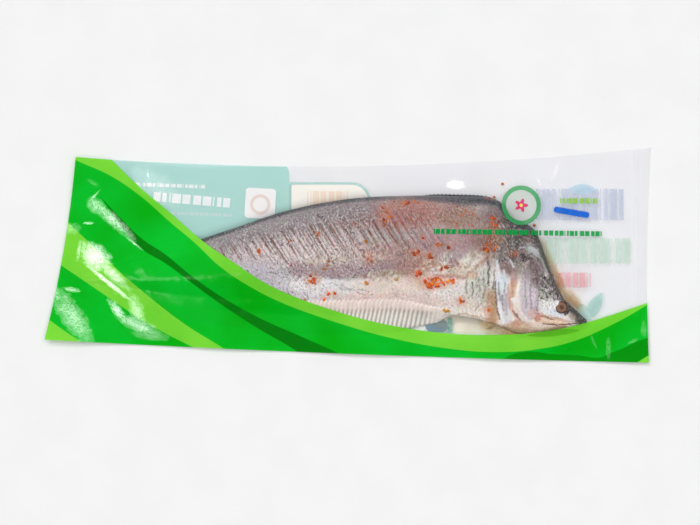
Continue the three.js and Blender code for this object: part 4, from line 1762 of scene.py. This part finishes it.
@dataclass
class FilmDrape:
    """Draws two films onto what lies between them, and onto each other, as the vacuum does."""

    outline: PouchOutline
    contents: BVHTree
    columns: int = 405
    rows: int = 145
    tent_radius: float = 12.0
    clearance: float = 0.18
    overshoot: float = 1.8
    levels: tuple[tuple[int, int], ...] = ((4, 320), (2, 200), (1, 160))
    probe: float = 0.35
    creases: tuple[Crinkle, ...] = CRINKLES

    def obstacle(self, x: Array, y: Array, way: Vector) -> Array:
        """Heights that a film may not pass, at the grid's points and between them.

        Args:
            x: Grid of places along x.
            y: Grid of places along y.
            way: DOWN for the front film and UP for the back film.

        Returns:
            One height for each point, minus or plus infinity where nothing lies.
        """
        missing, worse = (-np.inf, np.maximum) if way is DOWN else (np.inf, np.minimum)
        step_x = self.probe * self.outline.length / (self.columns - 1)
        step_y = self.probe * self.outline.width / (self.rows - 1)
        worst = np.full(x.shape, missing)
        for dx, dy in ((-step_x, -step_y), (step_x, -step_y), (-step_x, step_y), (step_x, step_y)):
            places = zip(x.ravel() + dx, y.ravel() + dy)
            flat = (height_under_ray(self.contents, px, py, way) for px, py in places)
            heights = np.array([missing if level is None else level for level in flat])
            worst = worse(worst, heights.reshape(x.shape))
        if way is UP:
            return worst - self.clearance
        soft = np.maximum(worst, 0.0)
        for pick in (np.max, np.mean):
            padded = np.pad(soft, 1, mode="edge")
            around = [padded[i : i + x.shape[0], j : j + x.shape[1]] for i in range(3) for j in range(3)]
            soft = pick(around, axis=0)
        return np.where(soft > self.clearance, soft + self.clearance, worst)

    def relaxed(self, film: Array, pull: float) -> Array:
        """Heights that a film's inner points ask for, from their neighbours and the vacuum's pull."""
        asked = (film[:-2, 1:-1] + film[2:, 1:-1] + film[1:-1, :-2] + film[1:-1, 2:]) / 4 + pull
        return film[1:-1, 1:-1] + self.overshoot * (asked - film[1:-1, 1:-1])

    def settle(
        self,
        front: Array,
        back: Array,
        over: Array,
        under: Array,
        rim: Array,
        fixed: Array,
        stride: int,
        passes: int,
    ) -> None:
        """Lets both films come to rest on one grid.

        Args:
            front: Heights of the front film, changed in place.
            back: Heights of the back film, changed in place.
            over: Heights that the front film may not sink below.
            under: Heights that the back film may not rise above.
            rim: Height of the seal's middle.
            fixed: True in the seal.
            stride: How many fine cells one cell of this grid spans.
            passes: How often every point is moved.
        """
        cell = stride * self.outline.length / (self.columns - 1)
        pull = cell * cell / (4 * self.tent_radius)
        gap = self.outline.pair_thickness
        half_seal = self.outline.seal_thickness / 2
        front[fixed] = rim[fixed] + half_seal
        back[fixed] = rim[fixed] - half_seal
        column, row = np.indices(front[1:-1, 1:-1].shape)
        inner = (slice(1, -1), slice(1, -1))
        loose = ~fixed[inner]
        turns = [loose & ((column + row) % 2 == parity) for parity in (0, 1)]
        for _ in range(passes):
            for turn in turns:
                high = np.maximum(self.relaxed(front, -pull), over[inner])
                low = np.maximum(0.0, np.minimum(self.relaxed(back, pull), under[inner]))
                middle = np.maximum((high + low) / 2, gap / 2)
                pressed = high - low < gap
                high = np.where(pressed, np.maximum(middle + gap / 2, over[inner]), high)
                low = np.where(pressed, np.maximum(0.0, np.minimum(middle - gap / 2, under[inner])), low)
                front[inner][turn] = high[turn]
                back[inner][turn] = low[turn]

    def solve(self) -> DrapedFilms:
        """Finds both films' shapes.

        Returns:
            The films, with their crinkles.
        """
        s, t = np.meshgrid(np.linspace(0, 1, self.columns), np.linspace(0, 1, self.rows), indexing="ij")
        x, y = self.outline.place(s, t)
        over = self.obstacle(x, y, DOWN)
        under = self.obstacle(x, y, UP)
        rim = self.outline.rim_height(s, t)
        fixed = self.outline.from_edge(s, t) < self.outline.seal_width
        front = np.maximum(over, rim)
        back = np.minimum(under, rim)
        for stride, passes in self.levels:
            pick = (slice(None, None, stride), slice(None, None, stride))
            grids = [np.ascontiguousarray(grid[pick]) for grid in (front, back, over, under, rim, fixed)]
            self.settle(*grids, stride, passes)
            front = self.refined(grids[0], stride)
            back = self.refined(grids[1], stride)
        free = ease(0, 10, self.outline.from_edge(s, t) - self.outline.seal_width / 2)
        lift = sum(crease.lift(x, y) for crease in self.creases) * free
        least = back + self.outline.pair_thickness * (0.4 + 0.6 * free)
        front = np.maximum(front + lift, np.maximum(over, least))
        return DrapedFilms(x, y, front, back)

    def refined(self, coarse: Array, stride: int) -> Array:
        """Carries heights from a coarse grid to the full one, along straight lines between its points.

        Args:
            coarse: Heights on the coarse grid.
            stride: How many fine cells one of its cells spans.

        Returns:
            Heights on the full grid.
        """
        if stride == 1:
            return coarse
        along = np.linspace(0, coarse.shape[0] - 1, self.columns)
        across = np.linspace(0, coarse.shape[1] - 1, self.rows)
        i = np.minimum(along.astype(int), coarse.shape[0] - 2)
        j = np.minimum(across.astype(int), coarse.shape[1] - 2)
        wi = (along - i)[:, None]
        wj = (across - j)[None, :]
        low = coarse[i][:, j] * (1 - wi) + coarse[i + 1][:, j] * wi
        high = coarse[i][:, j + 1] * (1 - wi) + coarse[i + 1][:, j + 1] * wi
        return low * (1 - wj) + high * wj


# --- the print


class BlockShape(Enum):
    """Plain shapes that the print is made of."""

    PANEL = "panel"
    DASHES = "dashes"
    RING = "ring"
    ROSETTE = "rosette"
    LEAF = "leaf"


PANEL, DASHES, RING, ROSETTE, LEAF = BlockShape


@dataclass(frozen=True)
class PrintBlock:
    """One plain shape of the print, or of the darker green laid like print where the chin lies under the
    film. A ring's half size is its radius and half its width.
    """

    name: str
    shape: BlockShape
    centre: Point
    half: Point
    colour: Colour
    ink: float = 1.0
    corner: float = 1.0
    tilt: float = 0.0
    pitch: float = 6.0

    def mask(self, pen: NodePen) -> Socket:
        """Nodes that are 1 inside the shape and 0 outside."""
        outside = getattr(self, self.shape.value)(pen, *pen.turned(self.centre, self.tilt))
        return pen.math("MULTIPLY_ADD", outside, -4.0, 0.5, clamp=True)

    def panel(self, pen: NodePen, along: Socket, across: Socket) -> Socket:
        """Distance outside a rectangle with round corners.

        Args:
            pen: The material that it is written into.
            along: Place along the shape.
            across: Place across it.

        Returns:
            The distance.
        """
        corner = min(self.corner, *self.half)
        out = []
        for place, half in zip((along, across), self.half):
            out.append(pen.most(pen.minus(pen.math("ABSOLUTE", place), half - corner), 0.0))
        return pen.minus(pen.hypot(*out), corner)

    def dashes(self, pen: NodePen, along: Socket, across: Socket) -> Socket:
        """Distance outside a bar that is broken into dashes of two alternating lengths.

        Args:
            pen: The material that it is written into.
            along: Place along the shape.
            across: Place across it.

        Returns:
            The distance.
        """
        bar = self.panel(pen, along, across)
        gaps = []
        for pitch, width in ((self.pitch, 0.16), (self.pitch * 2.35, 0.12)):
            share = pen.math("FRACT", pen.math("DIVIDE", along, pitch))
            phase = pen.math("ABSOLUTE", pen.minus(share, 0.5))
            gaps.append(pen.times(pen.minus(phase, 0.5 - width / 2), pitch))
        return pen.most(bar, pen.most(*gaps))

    def ring(self, pen: NodePen, along: Socket, across: Socket) -> Socket:
        """Distance outside a ring."""
        from_line = pen.math("ABSOLUTE", pen.minus(pen.hypot(along, across), self.half[0]))
        return pen.minus(from_line, self.half[1])

    def rosette(self, pen: NodePen, along: Socket, across: Socket) -> Socket:
        """Distance outside five round petals.

        Args:
            pen: The material that it is written into.
            along: Place along the shape.
            across: Place across it.

        Returns:
            The distance.
        """
        angle = pen.times(pen.math("ARCTAN2", across, along), 5.0)
        wave, mean = 0.26 * self.half[0], 0.74 * self.half[0]
        edge = pen.math("MULTIPLY_ADD", pen.math("COSINE", angle), wave, mean)
        return pen.minus(pen.hypot(along, across), edge)

    def leaf(self, pen: NodePen, along: Socket, across: Socket) -> Socket:
        """Distance outside a pointed leaf."""
        share = pen.math("POWER", pen.math("DIVIDE", along, self.half[0]), 2.0)
        edge = pen.math("MULTIPLY_ADD", share, -self.half[1], self.half[1])
        return pen.minus(pen.math("ABSOLUTE", across), edge)


@dataclass(frozen=True)
class PrintEdge:
    """A long curved edge between two fields of the print, as y over x."""

    name: str
    points: tuple[Point, ...]
    span: float = 270.0

    def below(self, pen: NodePen) -> Socket:
        """Nodes that are 1 below the edge and 0 above it.

        Args:
            pen: The material that it is written into.

        Returns:
            The mask.
        """
        node = pen.add("FloatCurve")
        curve = node.mapping.curves[0]
        while len(curve.points) < len(self.points):
            curve.points.new(0.5, 0.5)
        for knot, (x, y) in zip(curve.points, self.points):
            knot.location = (self.share(x), self.share(y))
        node.mapping.update()
        pen.feed(pen.math("MULTIPLY_ADD", pen.x, 0.5 / self.span, 0.5), node.inputs["Value"])
        edge = pen.math("MULTIPLY_ADD", node.outputs[0], 2 * self.span, -self.span)
        return pen.math("MULTIPLY_ADD", pen.minus(edge, pen.y), 4.0, 0.5, clamp=True)

    def share(self, length: float) -> float:
        """Place on the curve node's 0 to 1 range."""
        return 0.5 + 0.5 * length / self.span


SWOOSH_TOP = PrintEdge(
    "top of the light sweep",
    ((-240, 126), (-196.7, 79.4), (-171.7, 55), (-148.3, 35.4), (-120, 11), (-93.3, -7.1), (-70.8, -22.1),
     (-46.7, -33.8), (-14.2, -45.4), (12.5, -53.3), (43.3, -60), (85, -65.4), (123.3, -66.4), (158.3, -64.2),
     (186.7, -59.2), (226.7, -47.5), (262, -35)),
)
SWOOSH_FOOT = PrintEdge(
    "foot of the light sweep",
    ((-252, 92), (-226.7, 79), (-197.5, 65.8), (-171.7, 48.2), (-148.3, 27.6), (-125.8, 8.8), (-106.7, -9.2),
     (-80, -27.1), (-55, -39.7), (-27.1, -50.3), (-0.8, -58.9), (32.5, -68.3), (86.7, -78.3), (123.3, -80.8),
     (158.3, -78.3), (186.7, -72.1), (215.8, -60), (248.3, -41.9), (264, -31)),
)
DARK_TOP = PrintEdge(
    "top of the dark sweep",
    ((-212, 56), (-204.2, 46.7), (-188.3, 29.6), (-170.8, 13), (-152.5, 1), (-127.5, -19.2), (-106.7, -33.7),
     (-73.3, -52.6), (-40, -67.5), (1.7, -86.5), (30, -103)),
)
DARK_FOOT = PrintEdge(
    "foot of the dark sweep",
    ((-212, 57), (-204.2, 46), (-190, 25.8), (-180.8, 14), (-169.2, 3.2), (-152.5, -6.4), (-127.5, -24.9),
     (-106.7, -40.3), (-73.3, -62.2), (-48.3, -76.6), (-30, -89.5), (-20, -98)),
)
BAND_TOP = PrintEdge(
    "top of the light band",
    ((-240, 34), (-220.8, 15.4), (-195, -9.2), (-166.7, -33.8), (-136.7, -57), (-102.5, -78.5), (-80, -94)),
)
BAND_FOOT = PrintEdge(
    "foot of the light band",
    ((-250, -1), (-218.3, -22.5), (-197.5, -36.7), (-164.2, -58.6), (-127.5, -77.5), (-95, -93)),
)
CORNER_TOP = PrintEdge("top of the light corner", ((-256, -48), (-236, -63), (-214, -77)))
CRESCENT_TOP = PrintEdge(
    "top of the dark crescent",
    ((130, -86), (143.3, -81), (172.5, -82.5), (192, -83.6), (210, -85.4), (220, -81), (228.3, -78),
     (239.2, -72.5), (250, -68.8), (264, -64)),
)
LAST_CORNER = PrintEdge("top of the last corner", ((220, -100), (240, -89.8), (262, -75)))

DARK_GREEN = (2, 130, 12)
CRESCENT_GREEN = (0, 152, 8)
LINE_GREEN = (12, 160, 74)

FRONT_BLOCKS = tuple(PrintBlock(*row) for row in (
    ("ring", RING, (144, 41.3), (14.6, 1.9), (62, 170, 100), 0.82),
    ("ring's ground", RING, (144, 41.3), (6.4, 6.4), (226, 236, 228), 0.5),
    ("rosette", ROSETTE, (144, 41.3), (5.8, 0), (226, 40, 110), 0.9),
    ("rosette's heart", RING, (144, 41.3), (0.0, 1.4), (250, 226, 120), 0.95),
    ("dash line", DASHES, (141, 18.6), (70.5, 2.1), LINE_GREEN, 0.95, 0.6, -0.8, 4.3),
    ("blue bar", PANEL, (186, 35.5), (15, 2.5), (22, 104, 214), 0.95, 2.5, -10),
    # Not print: a darker green leaf laid where the chin lies under the light sweep.
    ("darker green under the chin", LEAF, (171, -64.8), (23, 2.8), (76, 180, 6), 0.6, 1, 6),
    ("lime dashes", DASHES, (192, 45), (15.5, 2.2), (150, 206, 70), 0.85, 0.6, 0, 4.6),
))
MINT = (174, 232, 220)
BACK_BLOCKS = tuple(PrintBlock(*row) for row in (
    ("mint panel", PANEL, (-134, 42), (85, 37), MINT, 0.6, 12),
    ("white line, first", DASHES, (-148, 57.8), (29, 1.5), (250, 252, 250), 0.8, 0.5, -2, 5.0),
    ("white line, second", DASHES, (-130, 46), (32, 3.9), (252, 254, 252), 0.8, 0.8, -5, 8.5),
    ("white line, third", DASHES, (-124, 34), (28, 1.2), (214, 236, 232), 0.5, 0.5, -2, 4.0),
    ("white tile", PANEL, (-73, 43), (12.6, 12.6), (252, 250, 248), 0.9, 3, -3),
    ("tile's ring", RING, (-73, 42), (7.2, 1.3), (236, 206, 190), 0.6),
    ("label's border", PANEL, (-15, 38), (34, 22.6), (158, 214, 204), 0.6, 16),
    ("label's border, square end", PANEL, (-33, 38), (16, 22.6), (158, 214, 204), 0.6, 2),
    ("label", PANEL, (-15, 37.5), (32, 21), (254, 250, 240), 0.92, 14.5),
    ("label's square end", PANEL, (-32, 37.5), (15, 21), (254, 250, 240), 0.92, 1),
    ("label's bars", DASHES, (-17, 46), (17, 7), (246, 196, 150), 0.4, 1, 0, 6.4),
    ("pale blue row", DASHES, (193, 42), (37, 13), (186, 198, 224), 0.42, 2, 0, 8.0),
    ("pale blue arc", LEAF, (195, 54.5), (12, 4.5), (176, 216, 238), 0.5),
    ("pale green row", DASHES, (200, 3.5), (36, 10.5), (196, 230, 204), 0.45, 3, 0, 9.0),
    ("pink row", DASHES, (186, -20.8), (16, 6.2), (244, 150, 154), 0.5, 1.5, 0, 6.0),
    ("heat seal", PANEL, (248, 0), (9, 100), (252, 252, 252), 0.22, 1, 0),
    ("teal leaf, first", LEAF, (205, -43), (14, 5.2), (160, 214, 202), 0.55, 1, 60),
    ("teal leaf, second", LEAF, (196, -47), (10, 4.4), (174, 220, 208), 0.5, 1, 130),
    ("grey-blue field", PANEL, (74, -59), (9.5, 5), (120, 150, 164), 0.8, 5),
    ("teal bar", PANEL, (85, -58.5), (1.9, 6), (110, 176, 172), 0.8, 1),
))


@dataclass(frozen=True)
class Sheen(Oval):
    """A soft-edged patch of film whose fine pleats all lean towards the window, so that it shines."""

    tilt: float = -41.0
    strength: float = 1.0

    def mask(self, pen: NodePen, ragged: Socket) -> Socket:
        """Nodes for how strongly its pleats lean.

        Args:
            pen: The material that it is written into.
            ragged: Noise that frays its edge.

        Returns:
            The share, 0 to 1.
        """
        places = zip(pen.turned(self.centre, self.tilt), self.half)
        reach = pen.hypot(*[pen.math("DIVIDE", place, half) for place, half in places])
        return pen.ramp(pen.plus(reach, ragged), 1.2, 0.0, 0.0, self.strength)


SHEENS = tuple(Sheen(*row) for row in (
    ("upper tail streak", (-196, 29.4), (22, 4.8), -41, 0.8),
    ("upper tail streak's head", (-209.2, 40.8), (9, 5.5), -30, 0.6),
    ("upper tail streak's end", (-178.5, 10.2), (9, 1.0), -38, 0.7),
    ("upper tail streak's whisker", (-211.7, 48.3), (7.5, 1.0), 48, 0.6),
    ("upper tail haze", (-212, 60), (10, 3), -30, 0.08),
    ("mint haze", (-160, 58), (30, 12), -38, 0.2),
    ("mint wisp", (-166.7, 66.7), (7, 1.2), -80, 0.6),
    ("small tail mark", (-216, 26.6), (4.6, 1.2), 0),
    ("tail patch", (-210.5, -0.8), (13.5, 9.5), -45, 1.55),
    ("tail patch's end", (-196, -15.5), (17, 4.4), -44, 1.0),
    ("tail crease, first", (-224, 4), (9, 1.8), 82, 0.55),
    ("tail crease, second", (-199, -23.3), (27, 1.9), -39, 1.35),
    ("tail crease's foot", (-176, -46.5), (14, 5.5), -70, 0.6),
    ("tail edge", (-231, 22), (9, 4.5), 0, 0.3),
    ("corner patch", (-229, -51.7), (25, 9), -56, 0.65),
    ("corner patch's loop", (-230, -28.8), (7, 2.0), -10, 0.9),
    ("corner edge", (-242, -33.5), (10, 3.4), -75, 0.45),
    ("belly patch's side", (-191.7, -46.7), (12, 3.4), -52, 1.0),
    ("belly patch", (-175, -58.5), (18, 5), -22, 0.8),
    ("belly patch's haze", (-165, -67), (15, 4), -8, 0.3),
    ("tail film", (-173, -12.5), (16, 8), -10, 0.05),
    ("back spot", (89, 58), (8, 4), 0, 0.9),
    ("head corner", (204, -71), (8, 2), -68, 0.09),
    ("head corner's fold", (217, -76), (15, 2.6), 90, 0.1),
    ("head corner's streak", (236.5, -72), (7, 2), 25, 0.12),
    ("head corner's edge", (246, -61), (11, 3.6), 92, 0.12),
    ("upper fold, broad", (173, 70), (13, 3.4), 68, 0.13),
    ("upper fold, short", (158.5, 62), (7, 1.6), -64, 0.22),
    ("upper fold, far", (212, 70), (14, 1.4), 86, 0.1),
    ("right fold", (236, 20), (40, 1.6), 88, 0.07),
))


@dataclass(frozen=True)
class FilmFinish:
    """Clear glossy film. Where it is printed it is nearly opaque."""

    name: str
    blocks: tuple[PrintBlock, ...]
    sweeps: bool
    sheens: tuple[Sheen, ...] = ()
    gloss_roughness: float = 0.15
    haze: float = 0.008
    ink_cover: float = 0.996
    mirror: float = 0.011
    sheen_mirror: float = 0.175

    def material(self) -> Material:
        """Writes the material.

        Returns:
            The material.
        """
        pen = NodePen(self.name)
        cover, colour = self.printed(pen)
        haze_share = pen.ramp(pen.noise(22.0, 3.0), 0.3, 0.7, self.haze * 0.6, self.haze * 1.5)
        clear = pen.mix_shaders(
            haze_share,
            pen.shader("BsdfTransparent", Color=linear((253, 253, 254))),
            pen.shader("BsdfDiffuse", Color=linear((240, 240, 244))),
        )
        ripple, shine, calm = self.pleated(pen, pen.bump(pen.noise(5.0, 3.0, 0.6), 0.12, 0.5))
        ink = pen.mix_shaders(
            0.12,
            pen.shader("BsdfDiffuse", Color=colour),
            pen.shader("BsdfTranslucent", Color=colour),
        )
        body = pen.mix_shaders(cover, clear, ink)
        gloss = pen.shader(
            "BsdfGlossy",
            Color=linear((255, 255, 255)),
            Roughness=self.gloss_roughness,
            Normal=ripple,
        )
        slant = pen.filled("LayerWeight", Blend=0.5, Normal=ripple)
        edge_on = pen.math("POWER", slant.outputs["Facing"], 5.0)
        mirror = pen.times(pen.math("MULTIPLY_ADD", edge_on, 1 - self.mirror, self.mirror), calm)
        mirror = pen.math("MULTIPLY_ADD", shine, self.sheen_mirror, mirror, clamp=True)
        return pen.finish(pen.mix_shaders(mirror, body, gloss))

    def pleated(self, pen: NodePen, normal: Socket) -> tuple[Socket, Socket, Socket]:
        """The sheens as nodes.

        Args:
            pen: The material that it is written into.
            normal: The film's normal.

        Returns:
            The normal, turned halfway to the window in the sheens, how strongly they shine, and 1 outside.
        """
        ragged = pen.ramp(pen.noise(6.0, 4.0, 0.65), 0.25, 0.75, -0.3, 0.3)
        share: Socket | float = 0.0
        for sheen in self.sheens:
            share = pen.most(sheen.mask(pen, ragged), share)
        grain = pen.ramp(pen.noise(1.1, 3.0, 0.8), 0.36, 0.66, 0.0, 1.4)
        turn = pen.math("MULTIPLY", share, 12.0, clamp=True)
        kept = pen.vector("SCALE", normal, Scale=pen.math("MULTIPLY_ADD", turn, -0.8, 1.0))
        total = pen.vector("ADD", kept, pen.vector("SCALE", WINDOW_LEAN, Scale=turn))
        calm = pen.minus(1.0, turn)
        return pen.vector("NORMALIZE", total), pen.times(share, grain), calm

    def printed(self, pen: NodePen) -> tuple[Socket, Socket]:
        """The print as nodes.

        Args:
            pen: The material that it is written into.

        Returns:
            How much it covers, and its colour.
        """
        cover: Socket | float = 0.0
        colour: Socket | tuple[float, ...] = linear((240, 244, 242))
        if self.sweeps:
            colour = self.swept(pen)
            below = SWOOSH_TOP.below(pen)
            cover = pen.times(below, self.ink_cover)
        for block in self.blocks:
            mask = pen.times(block.mask(pen), block.ink)
            whole = pen.most(pen.most(cover, mask), 0.001)
            share = pen.math("DIVIDE", mask, whole, clamp=True)
            colour = pen.mix(share, colour, linear(block.colour))
            cover = pen.most(cover, mask)
        return cover, colour

    def swept(self, pen: NodePen) -> Socket:
        """The green fields from top to bottom, each laid over the last.

        Args:
            pen: The material that it is written into.

        Returns:
            The colour.
        """
        tone = pen.noise(60.0, 2.0)
        deep = pen.mix(pen.ramp(tone, 0.35, 0.65), linear((0, 180, 14)), linear((2, 200, 46)))
        light = pen.mix(pen.ramp(tone, 0.35, 0.65), linear((110, 215, 50)), linear((130, 226, 62)))
        colour = pen.mix(SWOOSH_FOOT.below(pen), light, deep)
        for top, foot, side, limit, ink in (
            (DARK_TOP, DARK_FOOT, "LESS_THAN", 40.0, linear(DARK_GREEN)),
            (BAND_TOP, BAND_FOOT, "LESS_THAN", -60.0, light),
            (CRESCENT_TOP, None, "GREATER_THAN", 120.0, linear(CRESCENT_GREEN)),
            (CORNER_TOP, None, "LESS_THAN", -215.0, light),
            (LAST_CORNER, None, "GREATER_THAN", 200.0, light),
        ):
            inside = top.below(pen)
            if foot:
                inside = pen.math("SUBTRACT", inside, foot.below(pen), clamp=True)
            inside = pen.times(inside, pen.math(side, pen.x, limit))
            colour = pen.mix(inside, colour, ink)
        return colour


class FilmSide(Enum):
    """The pouch's two films."""

    FRONT = "front_film"
    BACK = "back_film"


@dataclass
class Pouch:
    """The two films of the pouch, and the marinade between them."""

    films: DrapedFilms
    juice_height: float = 0.3

    def build_film(self, side: FilmSide, finish: FilmFinish) -> Piece:
        """Makes one film.

        Args:
            side: Which one.
            finish: What it looks like.

        Returns:
            The mesh object.
        """
        front = side is FilmSide.FRONT
        height = self.films.front if front else self.films.back
        numbers = np.arange(height.size).reshape(height.shape)
        points = np.stack([self.films.x, self.films.y, height], axis=-1).reshape(-1, 3)
        return new_piece(side.value, points, grid_faces(numbers, flip=not front), finish.material())

    def build_marinade(self, back: BVHTree, puddles: tuple[Puddle, ...] = PUDDLES, cells: int = 24) -> Piece:
        """Makes the pools of marinade, with the painted shadow along the head's edge, as one piece, just over
        the back film.

        Args:
            back: Tree of the back film.
            puddles: Where they are.
            cells: Rings and half the spokes of each pool.

        Returns:
            The mesh object.
        """
        points: list[Array] = []
        faces: list[list[int]] = []
        depths: list[Array] = []
        for number, puddle in enumerate(puddles):
            share = np.linspace(0, 1, cells)[:, None]
            turn = np.linspace(0, math.tau, 2 * cells, endpoint=False)[None, :]
            wobble = 1 + 0.12 * layered_noise(np.cos(turn) * 3 + 7 * number, np.sin(turn) * 3, 1.2, 151)
            angle = math.radians(puddle.tilt)
            along = puddle.half[0] * share * np.cos(turn) * wobble
            across = puddle.half[1] * share * np.sin(turn) * wobble
            x = puddle.centre[0] + along * math.cos(angle) - across * math.sin(angle)
            y = puddle.centre[1] + along * math.sin(angle) + across * math.cos(angle)
            levels = [height_under_ray(back, px, py, DOWN) or 0.0 for px, py in zip(x.ravel(), y.ravel())]
            z = np.reshape(levels, x.shape) + self.juice_height
            start = sum(map(len, points))
            ids = start + np.arange(x.size).reshape(x.shape)
            faces += grid_faces(np.concatenate([ids, ids[:, :1]], axis=1)[::-1])
            points.append(np.stack([x, y, z], axis=-1).reshape(-1, 3))
            depth = puddle.strength * (1 - ease(0.35, 1.0, share + 0 * turn))
            depths.append(np.repeat(depth.reshape(-1, 1), 3, axis=1))
        piece = new_piece("marinade", np.concatenate(points), faces, JuiceFinish().material())
        paint_points(piece, "depth", np.concatenate(depths), screen=False)
        return piece


# --- studio


@dataclass(frozen=True)
class FloorFinish:
    """Plain pale paper."""

    name: str = "pale_paper"

    def material(self) -> Material:
        """Writes the material.

        Returns:
            The material.
        """
        pen = NodePen(self.name)
        grain = pen.ramp(pen.noise(40.0, 2.0), 0.3, 0.7, 0.0, 1.0)
        tone = pen.mix(grain, linear((237, 237, 237)), linear((240, 240, 240)))
        return pen.finish(pen.shader("BsdfDiffuse", Color=tone))


class LightUse(Enum):
    """What a light is for."""

    BODY = "lights surfaces and stays out of their gloss"
    GLINT = "shows in gloss alone"


@dataclass(frozen=True)
class SoftLight:
    """A large soft light, so far off that it lights everything alike."""

    name: str
    azimuth: float
    elevation: float
    angle: float
    strength: float
    use: LightUse = LightUse.BODY

    def place(self) -> None:
        """Adds it to the scene."""
        light = bpy.data.lights.new(self.name, "SUN")
        light.energy = self.strength
        light.angle = math.radians(self.angle)
        lamp = bpy.data.objects.new(self.name, light)
        lamp.visible_glossy = self.use is LightUse.GLINT
        lamp.visible_diffuse = self.use is LightUse.BODY
        azimuth = math.radians(self.azimuth)
        elevation = math.radians(self.elevation)
        level = math.cos(elevation)
        source = Vector((level * math.cos(azimuth), level * math.sin(azimuth), math.sin(elevation)))
        lamp.rotation_euler = source.to_track_quat("Z", "Y").to_euler()
        lamp.location = source
        bpy.context.scene.collection.objects.link(lamp)


@dataclass(frozen=True)
class Studio:
    """Camera straight above the pack, soft lights, and a pale floor."""

    view_centre: Point = (1.67, -6.25)
    view_width: float = 583.3
    camera_height: float = 3400.0
    sensor_width: float = 36.0
    wall_strength: float = 0.4
    ceiling_strength: float = 0.03
    floor_size: float = 3000.0
    floor_level: float = -0.3
    farthest_seen: float = 10000.0
    wall_top: float = 0.3
    ceiling_rim: float = 0.85
    lights: tuple[SoftLight, ...] = (
        SoftLight("ceiling_light", 110, 82, 80, 2.47),
        SoftLight("key_light", 122, 50, 14, 0.5),
        SoftLight("window_light", 226, 52, 28, 1.3, LightUse.GLINT),
        SoftLight("lamp_light", 139, 22, 12, 0.9, LightUse.GLINT),
    )

    def place_camera(self) -> None:
        """Adds the camera."""
        lens = self.sensor_width * self.camera_height / self.view_width
        camera = bpy.data.cameras.new("camera")
        camera.lens = lens
        camera.sensor_width = self.sensor_width
        camera.clip_end = self.farthest_seen * MM
        holder = bpy.data.objects.new("camera", camera)
        holder.location = (self.view_centre[0] * MM, self.view_centre[1] * MM, self.camera_height * MM)
        bpy.context.scene.collection.objects.link(holder)
        bpy.context.scene.camera = holder

    def place_floor(self) -> None:
        """Adds the floor."""
        half = self.floor_size / 2
        corners = np.array([(-half, -half), (half, -half), (half, half), (-half, half)])
        points = np.column_stack([corners, np.full(4, self.floor_level)])
        new_piece("floor", points, [[0, 1, 2, 3]], FloorFinish().material())

    def light_up(self) -> None:
        """Adds the soft lights and the room: white walls that fade into a dim ceiling."""
        for light in self.lights:
            light.place()
        world = bpy.data.worlds.new("room")
        world.use_nodes = True
        nodes = world.node_tree.nodes
        direction = nodes.new("ShaderNodeTexCoord").outputs["Generated"]
        parts = nodes.new("ShaderNodeSeparateXYZ")
        fade = nodes.new("ShaderNodeMapRange")
        values = (self.wall_top, self.ceiling_rim, self.wall_strength, self.ceiling_strength)
        for value, socket in zip(values, fade.inputs[1:5]):
            socket.default_value = value
        background = nodes["Background"]
        background.inputs["Color"].default_value = (1, 1, 1, 1)
        world.node_tree.links.new(direction, parts.inputs[0])
        world.node_tree.links.new(parts.outputs["Z"], fade.inputs[0])
        world.node_tree.links.new(fade.outputs[0], background.inputs["Strength"])
        bpy.context.scene.world = world
        bpy.context.scene.view_settings.view_transform = "Standard"

    def build(self) -> None:
        """Sets the whole studio up."""
        self.place_camera()
        self.place_floor()
        self.light_up()


def hand_over(piece: Piece, slot: str, replaces_pack: bool = False) -> None:
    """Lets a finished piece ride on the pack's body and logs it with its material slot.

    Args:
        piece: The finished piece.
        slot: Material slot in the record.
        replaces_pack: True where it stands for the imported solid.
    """
    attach(piece, BODY)
    if replaces_pack:
        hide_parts(PACK_NODE)
    log.info("%s: %d faces, slot %s", piece.name, len(piece.data.polygons), slot)


def main() -> None:
    """Builds the fish, what lies on it, the pouch round it and the studio."""
    logging.basicConfig(level=logging.INFO, format="%(name)s: %(message)s")
    Studio().build()
    form = FishForm()
    scores = tuple(FlankScores().cuts(form))
    skin = SkinFinish().material()
    body = FishBody(form, scores, skin).build()
    anal_fin = AnalFin(form, skin).build()
    dorsal_fin_and_shadow = DorsalFin(form, skin).build()
    body_tree = tree_of([body])
    eye = FishEye().build(body_tree)
    ground = tree_of([body, anal_fin, dorsal_fin_and_shadow, eye])
    flakes = ToppingLayer(FLAKE).build(ground)
    seeds = ToppingLayer(SEED, seed=6).build(ground)
    contents = tree_of([body, anal_fin, dorsal_fin_and_shadow, eye, flakes, seeds])
    films = FilmDrape(PouchOutline(), contents).solve()
    pouch = Pouch(films)
    front = pouch.build_film(FilmSide.FRONT, FilmFinish("printed_film", FRONT_BLOCKS, True, SHEENS))
    back = pouch.build_film(FilmSide.BACK, FilmFinish("clear_film", BACK_BLOCKS, False))
    marinade = pouch.build_marinade(tree_of([back]))
    hand_over(body, "fish_skin", True)
    for fin in (anal_fin, dorsal_fin_and_shadow):
        hand_over(fin, "fish_skin")
    hand_over(eye, "fish_eye")
    for topping in (flakes, seeds):
        hand_over(topping, "chili_flakes")
    hand_over(marinade, "marinade")
    hand_over(front, "printed_film", True)
    hand_over(back, "clear_film", True)


if __name__ == "__main__":
    main()
